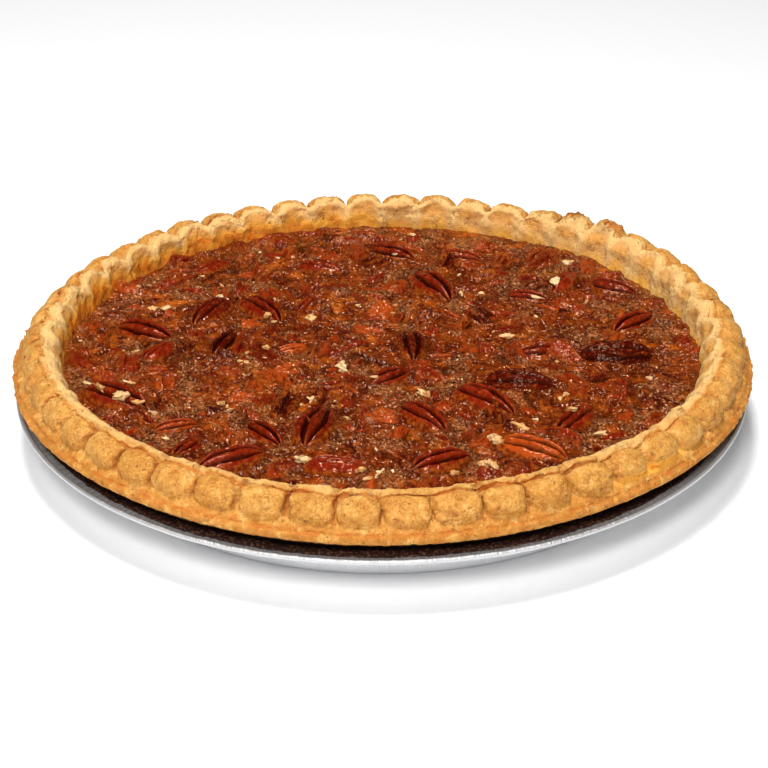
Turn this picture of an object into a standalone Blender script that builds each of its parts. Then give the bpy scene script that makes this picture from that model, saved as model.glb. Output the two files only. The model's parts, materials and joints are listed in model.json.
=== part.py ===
# Pecan pie in its own foil tin.
# The tin is pressed from one sheet of foil. The pastry crust lines it and stands over its rim in
# a crimped edge. The set filling, with chopped nuts in it, fills the crust to below the crimps,
# and pecan halves lie half sunk in its top.
# Units are metres and +Z is up. The origin is the centre of the tin's base, and the front of the
# pie, where the crimps are seen from outside, faces -Y.

import math
import random

import bmesh
import bpy
from mathutils import Euler, Matrix, Vector, noise
from mathutils.geometry import delaunay_2d_cdt

MM = 0.001

# Driving dimensions
TIN_RIM_RADIUS = 0.1225
TIN_BASE_RADIUS = 0.1006
TIN_HEEL = 0.0014
TIN_FLANGE_HEIGHT = 0.0165
TIN_FLANGE_WIDTH = 0.0068
TIN_BEAD_RADIUS = 0.00115
FOIL = 0.0006
TIN_SIDES = 50

CRIMPS = 50
CRUST_BASE_THICKNESS = 0.0042
CRUST_HEEL = 0.0010
CRUST_LIP_RADIUS = 0.1225
CRUST_LIP_HEIGHT = 0.0244
CRUST_OVALITY = 0.0011
RIM_WAVE = 0.0003
CRIMP_DEPTH = 0.0026
CRIMP_JITTER = 0.06
FLUTE_DEPTH = 0.0013
RAGGED_EDGE = 0.0005
RAGGED_SCALE = 26

FILLING_RADIUS = 0.1060
FILLING_HEIGHT = 0.0242
FILLING_DOME = 0.0008
LUMP_HEIGHT = 0.0013
LUMP_SIZE = 0.011
FILLING_SPACING = 0.0075
FLOOR_RADIUS = 0.0989
FLOOR_ROUND = 0.0006

PECAN_WIDTH_SHARE = 0.54
PECAN_HEIGHT_SHARE = 0.25
PECAN_SUNK_SHARE = 0.24
CHOPPED_PIECES = 16
CHOPPED_REACH = 0.096
CHOPPED_SPACING = 0.012
CHOPPED_CLEARANCE = 0.005

TOUCH_GAP = 0.00035

# The pecan halves that lie on top: place across and away from the front in mm, heading in
# degrees, length in mm, and roll about the long axis in degrees
PECAN_HALVES = [
    (-81, 15, -28, 24, 12), (-59, 30, 62, 23, -8), (-53, 5, 66, 19, 10), (-42, 31, -54, 24, 0),
    (-75, -1, 55, 17, -15), (18, 51, -60, 27, 5), (10, 2, -88, 22, 0), (-30, 1, 20, 12, 0),
    (4, 80, -30, 20, 10), (-22, 67, -22, 19, -6), (-62, 68, 40, 18, -12), (29, 77, -15, 18, 8),
    (54, -3, 4, 21, 10), (79, -4, -4, 26, -4), (87, 21, 42, 20, 12), (65, 54, 62, 20, -18),
    (52, 42, -20, 16, 8), (82, 50, -25, 20, 0), (-86, -34, -32, 27, -20), (-46, -75, 30, 24, 8),
    (-65, -53, 20, 15, 10), (-60, -67, 52, 14, 0), (-37, -58, -52, 19, 6), (-21, -54, 76, 25, 0),
    (3, -20, 36, 19, 12), (33, -38, -44, 26, 6), (45, -23, -12, 23, -10), (13, -49, -52, 23, 0),
    (18, -77, 28, 21, 12), (-14, -80, -8, 21, -10), (46, -70, -28, 25, 4), (61, -51, 50, 20, -6),
]


def make_material(name, colour, roughness, metallic=0.0):
    material = bpy.data.materials.new(name)
    material.use_nodes = True
    shader = material.node_tree.nodes["Principled BSDF"]
    shader.inputs["Base Color"].default_value = (*colour, 1.0)
    shader.inputs["Roughness"].default_value = roughness
    shader.inputs["Metallic"].default_value = metallic
    return material


def foil_material():
    return make_material("foil", (0.78, 0.78, 0.77), 0.32, metallic=1.0)


def pastry_material():
    return make_material("baked_pastry", (0.72, 0.43, 0.16), 0.72)


def filling_material():
    return make_material("set_filling", (0.21, 0.065, 0.016), 0.28)


def pecan_material():
    return make_material("pecan", (0.17, 0.032, 0.012), 0.34)


def add_object(name, bm, material):
    bmesh.ops.recalc_face_normals(bm, faces=bm.faces)
    mesh = bpy.data.meshes.new(name)
    bm.to_mesh(mesh)
    bm.free()
    mesh.materials.append(material)
    mesh.shade_smooth()
    mesh.set_sharp_from_angle(angle=math.radians(50))
    placed = bpy.data.objects.new(name, mesh)
    bpy.context.scene.collection.objects.link(placed)
    return placed


def bake_modifiers(placed):
    graph = bpy.context.evaluated_depsgraph_get()
    baked = bpy.data.meshes.new_from_object(placed.evaluated_get(graph))
    placed.modifiers.clear()
    placed.data = baked


def remove_object(placed):
    bpy.data.objects.remove(placed, do_unlink=True)


def polar(radius, angle, height):
    return Vector((radius * math.cos(angle), radius * math.sin(angle), height))


def even_ring(bm, radius, height, sides):
    turn = 2 * math.pi / sides
    return [bm.verts.new(polar(radius, i * turn - math.pi / 2, height)) for i in range(sides)]


def join_rings(bm, fine, coarse):
    """Close the band between two rings. The first has as many points or a multiple of them."""
    share = len(fine) // len(coarse)
    for i, corner in enumerate(coarse):
        following = coarse[(i + 1) % len(coarse)]
        span = [fine[(i * share + j) % len(fine)] for j in range(share + 1)]
        if share == 1:
            bm.faces.new((span[0], span[1], following, corner))
            continue
        middle = share // 2
        for j in range(middle):
            bm.faces.new((corner, span[j], span[j + 1]))
        bm.faces.new((corner, span[middle], following))
        for j in range(middle, share):
            bm.faces.new((following, span[j], span[j + 1]))


def join_all(bm, rings):
    for first, second in zip(rings, rings[1:]):
        fine, coarse = (first, second) if len(first) >= len(second) else (second, first)
        join_rings(bm, fine, coarse)


# The foil tin: a turned profile from the base's underside, up the wall, out along the flange,
# round the rolled bead and back down the inside

def flange_inner_radius():
    return TIN_RIM_RADIUS - TIN_BEAD_RADIUS - TIN_FLANGE_WIDTH


def tin_profile():
    flange_inner = flange_inner_radius()
    bead_centre = (TIN_RIM_RADIUS - TIN_BEAD_RADIUS, TIN_FLANGE_HEIGHT + TIN_BEAD_RADIUS / 3)
    outside = [(TIN_BASE_RADIUS - TIN_HEEL, 0.0), (TIN_BASE_RADIUS, FOIL),
               (flange_inner, TIN_FLANGE_HEIGHT)]
    bead = []
    for degrees in (-105, -25, 55, 135):
        angle = math.radians(degrees)
        bead.append((bead_centre[0] + TIN_BEAD_RADIUS * math.cos(angle),
                     bead_centre[1] + TIN_BEAD_RADIUS * math.sin(angle)))
    inside = [(flange_inner - FOIL / 2, TIN_FLANGE_HEIGHT + FOIL),
              (TIN_BASE_RADIUS - FOIL / 2, 2 * FOIL), (TIN_BASE_RADIUS - TIN_HEEL - FOIL, FOIL)]
    return outside + bead + inside


def make_tin(material):
    bm = bmesh.new()
    rings = [even_ring(bm, radius, height, TIN_SIDES) for radius, height in tin_profile()]
    join_all(bm, rings)
    bm.faces.new(rings[0])
    bm.faces.new(rings[-1])
    return add_object("foil_tin", bm, material)


# The crust: each crimp is a pillow pressed up between two grooves, five columns wide. Seen from
# outside, its right shoulder is the steep one. The rows run from under the lip, over the lip
# and the crimps, to the line where the filling meets the inner wall.

CRIMP_COLUMNS = (0.0, 0.14, 0.42, 0.72, 0.92)

# Each row: radius and height from the lip's outer edge in mm, how far the crimp's pillow lifts it
# along its outward and upward lean, and how much the lip's ragged edge moves it
CRUST_ROWS = [
    (-1.3, -1.3, 0.00, 0.0, 1.0),
    (0.0, 0.0, 0.00, 0.0, 1.0),
    (-0.5, 1.5, 0.00, 0.0, 0.8),
    (-2.9, 3.1, 0.10, 0.1, 0.3),
    (-4.0, 4.8, 0.55, 0.2, 0.0),
    (-5.9, 8.0, 0.55, 0.7, 0.0),
    (-8.6, 10.3, 0.15, 1.0, 0.0),
    (-11.6, 10.9, 0.00, 0.7, 0.1),
    (-15.2, 9.2, -0.25, 0.2, 0.6),
    (-15.8, 7.6, -0.10, 0.0, 0.5),
    (-16.1, 3.8, 0.00, 0.0, 0.0),
    (-16.5, 0.2, 0.00, 0.0, 0.0),
]
FLUTED_ROWS = {9: 0.6, 10: 1.0, 11: 0.0}

# The crumbled flakes that stand up on the back of the rim: bearing and half width in degrees,
# and height in mm
FLAKED_ROWS = {5: 0.5, 6: 1.0, 7: 0.8}
FLAKES = [(51.0, 4.6, 2.8), (42.2, 3.3, 2.2)]

# Where the rim was pressed out of round: bearing and half width in degrees, then how far it
# goes out and up in mm
PRESSED_PLACES = [(36.0, 13.0, 1.8, 1.0), (152.0, 20.0, -1.1, 0.0)]


def pillow(across):
    """The height of a crimp from one groove at 0 to the next at 1."""
    return math.sin(math.pi * across ** 1.2) ** 0.6 if across > 0 else 0.0


def crimp_strength(angle):
    """The crimps are pressed shallow along the left of the pie."""
    left = math.cos(angle - math.radians(192))
    return 1.0 - 0.5 * max(0.0, left) ** 14


def flake_height(angle):
    bearing = math.degrees(angle)
    return sum(height * MM * math.exp(-((bearing - middle) / half_width) ** 4)
               for middle, half_width, height in FLAKES)


def rim_swell(angle):
    """How far the rim stands out of its circle, all round in waves and where it was pressed."""
    swell = CRUST_OVALITY * math.cos(2 * angle) + RIM_WAVE * math.sin(3 * angle + 1.0)
    for middle, half_width, out, _ in PRESSED_PLACES:
        swell += out * MM * math.exp(-((math.degrees(angle) - middle) / half_width) ** 2)
    return swell


def rim_rise(angle):
    """How far the rim stands above its level, all round in waves and where it was pressed."""
    rise = RIM_WAVE * (1.2 * math.sin(2 * angle + 0.6) + 0.8 * math.sin(5 * angle))
    for middle, half_width, _, up in PRESSED_PLACES:
        rise += up * MM * math.exp(-((math.degrees(angle) - middle) / half_width) ** 2)
    return rise


def crimp_columns():
    """The angle, place across its crimp and lift of every column round the rim."""
    draw = random.Random(11)
    pitch = 2 * math.pi / CRIMPS
    starts = []
    for i in range(CRIMPS):
        starts.append((i + draw.uniform(-CRIMP_JITTER, CRIMP_JITTER)) * pitch - math.pi / 2)
    lifts = [draw.uniform(0.78, 1.16) for _ in range(CRIMPS)]
    columns = []
    for i, start in enumerate(starts):
        end = starts[i + 1] if i + 1 < CRIMPS else starts[0] + 2 * math.pi
        for across in CRIMP_COLUMNS:
            angle = start + (end - start) * across
            columns.append((angle, across, lifts[i] * crimp_strength(angle)))
    return columns


def rim_point(row, angle, across, lift):
    out, up, lift_out, lift_up, ragged = CRUST_ROWS[row]
    swell = pillow(across) - 0.55
    rough = noise.noise(Vector((math.cos(angle), math.sin(angle), row * 0.03)) * RAGGED_SCALE)
    radius = CRUST_LIP_RADIUS + out * MM + lift_out * swell * lift * CRIMP_DEPTH
    radius += rim_swell(angle) * (0.4 if row > 8 else 1.0) + RAGGED_EDGE * rough * ragged
    if row in FLUTED_ROWS:
        radius += FLUTE_DEPTH * FLUTED_ROWS[row] * swell * lift
    height = CRUST_LIP_HEIGHT + up * MM + lift_up * swell * lift * CRIMP_DEPTH
    height += rim_rise(angle) * (1.0 if row < 10 else 0.3) + RAGGED_EDGE * rough * ragged
    if row in FLAKED_ROWS:
        height += FLAKED_ROWS[row] * flake_height(angle)
    if row == len(CRUST_ROWS) - 1:
        radius = FILLING_RADIUS
    return polar(radius, angle, height)


def crust_underside():
    """From the floor of the tin, up its wall and out over its flange to below the lip."""
    base = FOIL + TOUCH_GAP
    flange_inner = flange_inner_radius()
    flange_top = TIN_FLANGE_HEIGHT + FOIL
    return [(TIN_BASE_RADIUS - TIN_HEEL - CRUST_HEEL, base),
            (TIN_BASE_RADIUS - TIN_HEEL, base + 0.4 * CRUST_HEEL),
            (flange_inner - FOIL - 2 * TOUCH_GAP, TIN_FLANGE_HEIGHT),
            (flange_inner, flange_top + 2 * TOUCH_GAP),
            (flange_inner + 3 * CRUST_HEEL, flange_top + 2 * TOUCH_GAP + CRUST_HEEL)]


def shell_profile(inset):
    """The wall and floor where crust and filling meet. The filling stays in by an inset."""
    floor = FOIL + TOUCH_GAP + CRUST_BASE_THICKNESS + inset / 2
    return [(FILLING_RADIUS - CRUST_HEEL - inset, FILLING_HEIGHT - 2 * CRUST_HEEL),
            (FLOOR_RADIUS - inset, floor + FLOOR_ROUND),
            (FLOOR_RADIUS - 3 * FLOOR_ROUND - inset, floor)]


def make_crust(material):
    bm = bmesh.new()
    rings = [even_ring(bm, radius, height, CRIMPS) for radius, height in crust_underside()]
    columns = crimp_columns()
    for row in range(len(CRUST_ROWS)):
        rings.append([bm.verts.new(rim_point(row, *column)) for column in columns])
    rings += [even_ring(bm, radius, height, CRIMPS) for radius, height in shell_profile(0.0)]
    join_all(bm, rings)
    bm.faces.new(rings[0])
    bm.faces.new(rings[-1])
    return add_object("pie_crust", bm, material)


# The filling: a bumpy top over the chopped nuts, cut to the crust's inner wall

def filling_top(x, y):
    """The height of the filling's own surface, without the nuts that lie on it."""
    edge = math.hypot(x, y) / FILLING_RADIUS
    place = Vector((x, y, 0.0))
    lumps = noise.noise(place / LUMP_SIZE) + 0.55 * noise.noise(place / (2.3 * LUMP_SIZE))
    calm = 1.0 - max(0.0, edge) ** 8
    return FILLING_HEIGHT + FILLING_DOME * (1 - edge ** 2) + LUMP_HEIGHT * lumps * calm


def lattice_points(limit):
    row_step = FILLING_SPACING * math.sqrt(3) / 2
    rows = int(limit / row_step) + 1
    points = []
    for j in range(-rows, rows + 1):
        shift = FILLING_SPACING / 2 if j % 2 else 0.0
        for i in range(-rows - 2, rows + 3):
            place = Vector((i * FILLING_SPACING + shift, j * row_step))
            if place.length < limit:
                points.append(place)
    return points


def filling_mesh(lift):
    """The filling as a closed mesh. A lift raises its top, for cutting what rests on it."""
    bm = bmesh.new()
    inset = 2 * TOUCH_GAP
    edge_radius = FILLING_RADIUS - inset
    edge = even_ring(bm, edge_radius, FILLING_HEIGHT + lift, CRIMPS)
    inside = lattice_points(edge_radius - 0.7 * FILLING_SPACING)
    flat = [vert.co.to_2d() for vert in edge] + inside
    top = edge + [bm.verts.new((p.x, p.y, filling_top(p.x, p.y) + lift)) for p in inside]
    border = [(i, (i + 1) % CRIMPS) for i in range(CRIMPS)]
    triangles = delaunay_2d_cdt(flat, border, [], 1, 1e-7)[2]
    for triangle in triangles:
        bm.faces.new([top[i] for i in triangle])
    sides = [even_ring(bm, radius, height, CRIMPS) for radius, height in shell_profile(inset)]
    join_all(bm, [edge] + sides)
    bm.faces.new(sides[-1])
    return bm


def chopped_places(draw):
    """Places for chopped pieces, clear of the halves and of each other."""
    places = []
    while len(places) < CHOPPED_PIECES:
        bearing = draw.uniform(0, 2 * math.pi)
        reach = CHOPPED_REACH * math.sqrt(draw.random())
        place = Vector((math.cos(bearing), math.sin(bearing))) * reach
        clear = all((place - Vector((x, y)) * MM).length > length * MM / 2 + CHOPPED_CLEARANCE
                    for x, y, _, length, _ in PECAN_HALVES)
        if clear and all((place - other).length > CHOPPED_SPACING for other in places):
            places.append(place)
    return places


def make_chopped_piece(place, draw, number, material):
    bm = bmesh.new()
    bmesh.ops.create_icosphere(bm, subdivisions=1, radius=1.0)
    size = Vector((draw.uniform(3.0, 4.2), draw.uniform(2.2, 3.0), draw.uniform(1.8, 2.4))) * MM
    for vert in bm.verts:
        uneven = 1 + draw.uniform(-0.18, 0.18)
        vert.co = Vector((vert.co.x * size.x, vert.co.y * size.y, vert.co.z * size.z)) * uneven
    turn = Euler((draw.uniform(-0.4, 0.4), draw.uniform(-0.4, 0.4), draw.uniform(0, math.pi)))
    bm.transform(turn.to_matrix().to_4x4())
    height = filling_top(place.x, place.y) + 0.2 * MM
    bm.transform(Matrix.Translation((place.x, place.y, height)))
    return add_object(f"chopped_{number}", bm, material)


def make_filling(material):
    filling = add_object("pecan_filling", filling_mesh(0.0), material)
    draw = random.Random(5)
    pieces = bpy.data.collections.new("chopped_pieces")
    for number, place in enumerate(chopped_places(draw)):
        pieces.objects.link(make_chopped_piece(place, draw, number, material))
    union = filling.modifiers.new("join_chopped", "BOOLEAN")
    union.operation = "UNION"
    union.operand_type = "COLLECTION"
    union.collection = pieces
    bake_modifiers(filling)
    for piece in list(pieces.objects):
        remove_object(piece)
    bpy.data.collections.remove(pieces)
    return filling


# The pecan halves: a domed kernel with two grooves along its back, cut by the filling it lies in

KERNEL_ALONG = (-0.76, -0.27, 0.27, 0.76)
KERNEL_ACROSS = (-1.0, -0.70, -0.36, 0.0, 0.36, 0.70, 1.0)
GROOVE_AT = 0.36
GROOVE_CUT = 0.26
KERNEL_TAPER = 0.10


def kernel_point(along, across, length):
    narrow = (1 - along ** 2) ** 0.5 * (1 - KERNEL_TAPER * along)
    width = length * PECAN_WIDTH_SHARE / 2 * narrow
    crest = length * PECAN_HEIGHT_SHARE * (1 - along ** 2) ** 0.45
    dome = math.sqrt(max(0.0, 1 - across ** 2))
    groove = GROOVE_CUT if abs(abs(across) - GROOVE_AT) < 0.01 else 0.0
    return Vector((along * length / 2, across * width, crest * dome * (1 - groove)))


def kernel_mesh(length):
    """A whole kernel half, flat side down, lying along X."""
    bm = bmesh.new()
    rows = [[bm.verts.new(kernel_point(along, across, length)) for across in KERNEL_ACROSS]
            for along in KERNEL_ALONG]
    tail, tip = [bm.verts.new((end * length / 2, 0.0, 0.0)) for end in (-1, 1)]
    for first, second in zip(rows, rows[1:]):
        for j in range(len(KERNEL_ACROSS) - 1):
            bm.faces.new((first[j], first[j + 1], second[j + 1], second[j]))
    for row, end in ((rows[0], tail), (rows[-1], tip)):
        for j in range(len(KERNEL_ACROSS) - 1):
            bm.faces.new((row[j], row[j + 1], end))
    near_side = [row[0] for row in rows]
    far_side = [row[-1] for row in reversed(rows)]
    bm.faces.new(near_side + [tip] + far_side + [tail])
    return bm


def make_kernel(number, spot, clearance, material):
    x, y, heading, length, roll = spot
    length = length * MM
    bm = kernel_mesh(length)
    sunk = length * PECAN_HEIGHT_SHARE * PECAN_SUNK_SHARE
    base = filling_top(x * MM, y * MM) - sunk
    facing = Matrix.Rotation(math.radians(heading), 4, "Z")
    tipped = Matrix.Rotation(math.radians(roll), 4, "X")
    bm.transform(Matrix.Translation((x * MM, y * MM, base)) @ facing @ tipped)
    kernel = add_object(f"pecan_half_{number:02d}", bm, material)
    cut = kernel.modifiers.new("clear_of_filling", "BOOLEAN")
    cut.operation = "DIFFERENCE"
    cut.object = clearance
    bake_modifiers(kernel)
    keep_largest_piece(kernel)
    return kernel


def keep_largest_piece(placed):
    """Drop the loose scraps that a cut leaves beside the piece."""
    bm = bmesh.new()
    bm.from_mesh(placed.data)
    unseen = set(bm.verts)
    pieces = []
    while unseen:
        reached = {unseen.pop()}
        front = list(reached)
        while front:
            for edge in front.pop().link_edges:
                for vert in edge.verts:
                    if vert in unseen:
                        unseen.discard(vert)
                        reached.add(vert)
                        front.append(vert)
        pieces.append(reached)
    largest = max(pieces, key=len)
    scraps = [vert for piece in pieces if piece is not largest for vert in piece]
    bmesh.ops.delete(bm, geom=scraps, context="VERTS")
    bm.to_mesh(placed.data)
    bm.free()


def make_pecans(material):
    clearance = add_object("clearance", filling_mesh(TOUCH_GAP), material)
    clearance.hide_render = True
    clearance.display_type = "WIRE"
    for number, spot in enumerate(PECAN_HALVES, start=1):
        make_kernel(number, spot, clearance, material)
    remove_object(clearance)


for old in list(bpy.data.objects):
    bpy.data.objects.remove(old, do_unlink=True)

make_tin(foil_material())
make_crust(pastry_material())
make_filling(filling_material())
make_pecans(pecan_material())
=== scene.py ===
import json
import math
import random

import bmesh
import bpy
import numpy as np
from mathutils import Euler, Matrix, Vector, noise
from mathutils.bvhtree import BVHTree

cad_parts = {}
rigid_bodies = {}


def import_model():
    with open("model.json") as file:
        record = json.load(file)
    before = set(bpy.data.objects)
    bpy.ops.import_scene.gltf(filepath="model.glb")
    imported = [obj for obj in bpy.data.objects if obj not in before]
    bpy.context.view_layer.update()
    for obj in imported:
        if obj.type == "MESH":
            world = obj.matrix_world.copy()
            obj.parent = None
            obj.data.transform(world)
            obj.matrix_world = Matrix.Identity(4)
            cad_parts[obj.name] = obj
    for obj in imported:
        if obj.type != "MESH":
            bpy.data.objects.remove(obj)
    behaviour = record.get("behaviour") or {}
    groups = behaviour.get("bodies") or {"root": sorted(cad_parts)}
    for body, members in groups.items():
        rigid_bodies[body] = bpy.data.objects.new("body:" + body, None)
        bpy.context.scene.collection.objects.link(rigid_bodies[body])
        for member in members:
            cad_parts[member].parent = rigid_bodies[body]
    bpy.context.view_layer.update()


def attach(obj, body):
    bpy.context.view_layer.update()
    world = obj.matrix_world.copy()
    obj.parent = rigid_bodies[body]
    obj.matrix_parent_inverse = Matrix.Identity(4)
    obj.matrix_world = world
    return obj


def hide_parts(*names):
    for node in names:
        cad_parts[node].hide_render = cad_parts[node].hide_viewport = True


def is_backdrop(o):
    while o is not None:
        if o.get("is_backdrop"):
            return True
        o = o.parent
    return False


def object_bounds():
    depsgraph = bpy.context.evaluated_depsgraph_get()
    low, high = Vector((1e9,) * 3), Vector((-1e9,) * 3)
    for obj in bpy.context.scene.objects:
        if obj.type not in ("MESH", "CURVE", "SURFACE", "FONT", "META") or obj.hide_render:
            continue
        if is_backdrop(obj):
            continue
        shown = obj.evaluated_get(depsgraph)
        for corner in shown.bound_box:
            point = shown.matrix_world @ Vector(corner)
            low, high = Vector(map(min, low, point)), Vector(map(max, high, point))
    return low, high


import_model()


# The foil tin
# A shallow pie tin stamped from one sheet of soft foil, with a flat base and a sloping wall. Its
# edge is rolled outwards into a bead, and the foil wrinkles finely across the flange as it rolls.

MM = 0.001
TIN_RIM_RADIUS = 122.35 * MM
TIN_BASE_RADIUS = 100.6 * MM
HEEL_RADIUS = 0.8 * MM
FLANGE_HEIGHT = 16.5 * MM
FLANGE_WIDTH = 7.05 * MM
BEAD_RADIUS = 0.8 * MM
FOIL = 0.35 * MM
FLANGE_TOP = FLANGE_HEIGHT + FOIL
FLANGE_INNER = TIN_RIM_RADIUS - BEAD_RADIUS - FLANGE_WIDTH
BASE_RING_RADIUS = 54 * MM
TIN_SIDES = 1080
# One foil in two colours: the wall painted lighter, as painted light in its shade, and the flange and
# bead painted darker, as painted shade on their highlight
WALL_PAINTED_LIGHT_COLOUR = (0.96, 0.965, 0.98, 1)
RIM_PAINTED_SHADE_COLOUR = (0.65, 0.65, 0.655, 1)
# Painted shade in the foil's crinkles on the flange
CRINKLE_SHADE_COLOUR = (0.3, 0.29, 0.28, 1)


class Wire:
    """One output of a node. Python's operators on it add Math nodes."""

    def __init__(self, graph, socket):
        self.graph = graph
        self.socket = socket

    def side(self, name):
        """Another output of the same node."""
        return Wire(self.graph, self.graph.find(self.socket.node.outputs, name))

    def maths(self, operation, *others):
        return self.graph.maths(operation, self, *others)

    def __add__(self, other):
        return self.maths("ADD", other)

    def __radd__(self, other):
        return self.graph.maths("ADD", other, self)

    def __sub__(self, other):
        return self.maths("SUBTRACT", other)

    def __rsub__(self, other):
        return self.graph.maths("SUBTRACT", other, self)

    def __mul__(self, other):
        return self.maths("MULTIPLY", other)

    def __rmul__(self, other):
        return self.graph.maths("MULTIPLY", other, self)

    def __truediv__(self, other):
        return self.maths("DIVIDE", other)

    def __rtruediv__(self, other):
        return self.graph.maths("DIVIDE", other, self)

    def __pow__(self, other):
        return self.maths("POWER", other)

    def between(self, low, high):
        """0 below one value, 1 above the other, and smooth from one to the other."""
        return self.graph.node("ShaderNodeMapRange", {"Value": self, "From Min": low, "From Max": high},
                               interpolation_type="SMOOTHSTEP")


class Graph:
    """A node tree, for a material or for geometry. One method adds any kind of node."""

    def __init__(self, tree):
        self.tree = tree
        tree.nodes.clear()

    def find(self, sockets, key):
        if isinstance(key, int):
            return sockets[key]
        return next(socket for socket in sockets if socket.name == key and socket.enabled)

    def node(self, kind, inputs=None, output=0, stops=None, **settings):
        made = self.tree.nodes.new(kind)
        for name, value in settings.items():
            setattr(made, name, value)
        for i, (position, colour) in enumerate(stops or ()):
            ramp = made.color_ramp.elements
            stop = ramp[i] if i < 2 else ramp.new(position)
            stop.position = position
            stop.color = colour
        for key, value in (inputs or {}).items():
            socket = self.find(made.inputs, key)
            if isinstance(value, Wire):
                self.tree.links.new(value.socket, socket)
            else:
                socket.default_value = value
        return Wire(self, self.find(made.outputs, output) if made.outputs else None)

    def maths(self, operation, *values):
        return self.node("ShaderNodeMath", dict(enumerate(values)), operation=operation)

    def vector(self, operation, *values):
        return self.node("ShaderNodeVectorMath", dict(enumerate(values)), operation=operation)

    def joined(self, x, y, z):
        return self.node("ShaderNodeCombineXYZ", {"X": x, "Y": y, "Z": z})

    def split(self, vector):
        parts = self.node("ShaderNodeSeparateXYZ", {"Vector": vector})
        return parts, parts.side("Y"), parts.side("Z")

    def noise(self, place, grain, detail=2.0, rough=0.5, output=0):
        """Noise whose lumps are about one grain across, in metres."""
        return self.node("ShaderNodeTexNoise", {"Vector": place, "Scale": 1.0 / grain, "Detail": detail,
                                                "Roughness": rough}, output)

    def cells(self, place, grain):
        """How far a place is from the middle of its cell, in cells about one grain across."""
        return self.node("ShaderNodeTexVoronoi", {"Vector": place, "Scale": 1.0 / grain}, "Distance",
                         feature="F1")

    def warped(self, place, grain):
        """A place pushed about by soft noise, up to as far as the noise's own grain."""
        push = self.noise(place, grain, 2.0, output="Color")
        return self.vector("ADD", place, self.vector("MULTIPLY", push, (grain, grain, grain)))


class Finish(Graph):
    """A material. Its colours are mixed by masks, and its bumps are given in millimetres."""

    def __init__(self, name):
        self.material = bpy.data.materials.new(name)
        self.material.use_nodes = True
        super().__init__(self.material.node_tree)
        self.place = self.node("ShaderNodeTexCoord", output="Object")

    def attribute(self, name):
        return self.node("ShaderNodeAttribute", output="Fac", attribute_name=name)

    def mix(self, mask, under, over):
        return self.node("ShaderNodeMix", {"Factor": mask, "A": under, "B": over}, "Result",
                         data_type="RGBA")

    def bump(self, height, depth, normal=None):
        """Relief whose height value of 1 stands as far out as the depth, in metres."""
        inputs = {"Height": height, "Distance": depth, "Strength": 1.0}
        if normal is not None:
            inputs["Normal"] = normal
        return self.node("ShaderNodeBump", inputs)

    def shade(self, **sockets):
        named = {name.replace("_", " "): value for name, value in sockets.items()}
        shader = self.node("ShaderNodeBsdfPrincipled", named)
        self.node("ShaderNodeOutputMaterial", {"Surface": shader})
        return self.material


class Shaper(Graph):
    """A geometry tree with named inputs. It shapes an object, whose result becomes a plain mesh."""

    KINDS = {int: "NodeSocketInt", float: "NodeSocketFloat", bpy.types.Material: "NodeSocketMaterial",
             bpy.types.Collection: "NodeSocketCollection", bpy.types.Object: "NodeSocketObject"}

    def __init__(self, name, inputs):
        super().__init__(bpy.data.node_groups.new(name, "GeometryNodeTree"))
        sides = self.tree.interface
        sides.new_socket("Geometry", in_out="INPUT", socket_type="NodeSocketGeometry")
        sides.new_socket("Geometry", in_out="OUTPUT", socket_type="NodeSocketGeometry")
        for label, kind in inputs.items():
            sides.new_socket(label, in_out="INPUT", socket_type=self.KINDS[kind])
        sides.new_socket("Finish", in_out="INPUT", socket_type="NodeSocketMaterial")
        self.entry = self.node("NodeGroupInput")

    def given(self, name="Geometry"):
        return self.entry.side(name)

    def position(self):
        return self.node("GeometryNodeInputPosition")

    def named(self, name):
        return self.node("GeometryNodeInputNamedAttribute", {"Name": name}, "Attribute",
                         data_type="FLOAT")

    def end(self, geometry):
        whole = self.node("GeometryNodeRealizeInstances", {"Geometry": geometry})
        whole = self.node("GeometryNodeSetMaterial", {"Geometry": whole,
                                                      "Material": self.given("Finish")})
        self.node("NodeGroupOutput", {"Geometry": whole})

    def shape(self, placed, finish, **values):
        """Runs the tree on an object with these inputs, underscores for spaces, and keeps the mesh."""
        values["Finish"] = finish
        modifier = placed.modifiers.new(self.tree.name, "NODES")
        modifier.node_group = self.tree
        for item in self.tree.interface.items_tree:
            if item.in_out == "INPUT" and item.name.replace(" ", "_") in values:
                modifier[item.identifier] = values[item.name.replace(" ", "_")]
        seen = placed.evaluated_get(bpy.context.evaluated_depsgraph_get())
        result = bpy.data.meshes.new_from_object(seen)
        result.name = placed.name
        placed.modifiers.clear()
        placed.data = result


def add_piece(name, verts, faces, replaced=()):
    """A mesh object at the origin and the solids that it stands for."""
    mesh = bpy.data.meshes.new(name)
    mesh.from_pydata(verts, [], faces)
    placed = bpy.data.objects.new(name, mesh)
    bpy.context.scene.collection.objects.link(placed)
    if replaced:
        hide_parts(*replaced)
    return placed


def close_mesh(placed):
    """Merges doubles, turns every face outwards and shades the surface smooth."""
    bm = bmesh.new()
    bm.from_mesh(placed.data)
    bmesh.ops.remove_doubles(bm, verts=bm.verts, dist=1e-6)
    bmesh.ops.dissolve_degenerate(bm, edges=bm.edges, dist=1e-6)
    bmesh.ops.recalc_face_normals(bm, faces=bm.faces)
    bm.to_mesh(placed.data)
    bm.free()
    placed.data.shade_smooth()


def arc(centre, radius, start, stop, steps):
    """Points on an arc in the profile's plane, with angles in degrees."""
    turns = [math.radians(start + (stop - start) * i / steps) for i in range(steps + 1)]
    return [(centre[0] + radius * math.cos(t), centre[1] + radius * math.sin(t)) for t in turns]


def run(start, stop, steps):
    """Points from one place towards another, without the last."""
    return [(start[0] + (stop[0] - start[0]) * i / steps, start[1] + (stop[1] - start[1]) * i / steps)
            for i in range(steps)]


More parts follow.
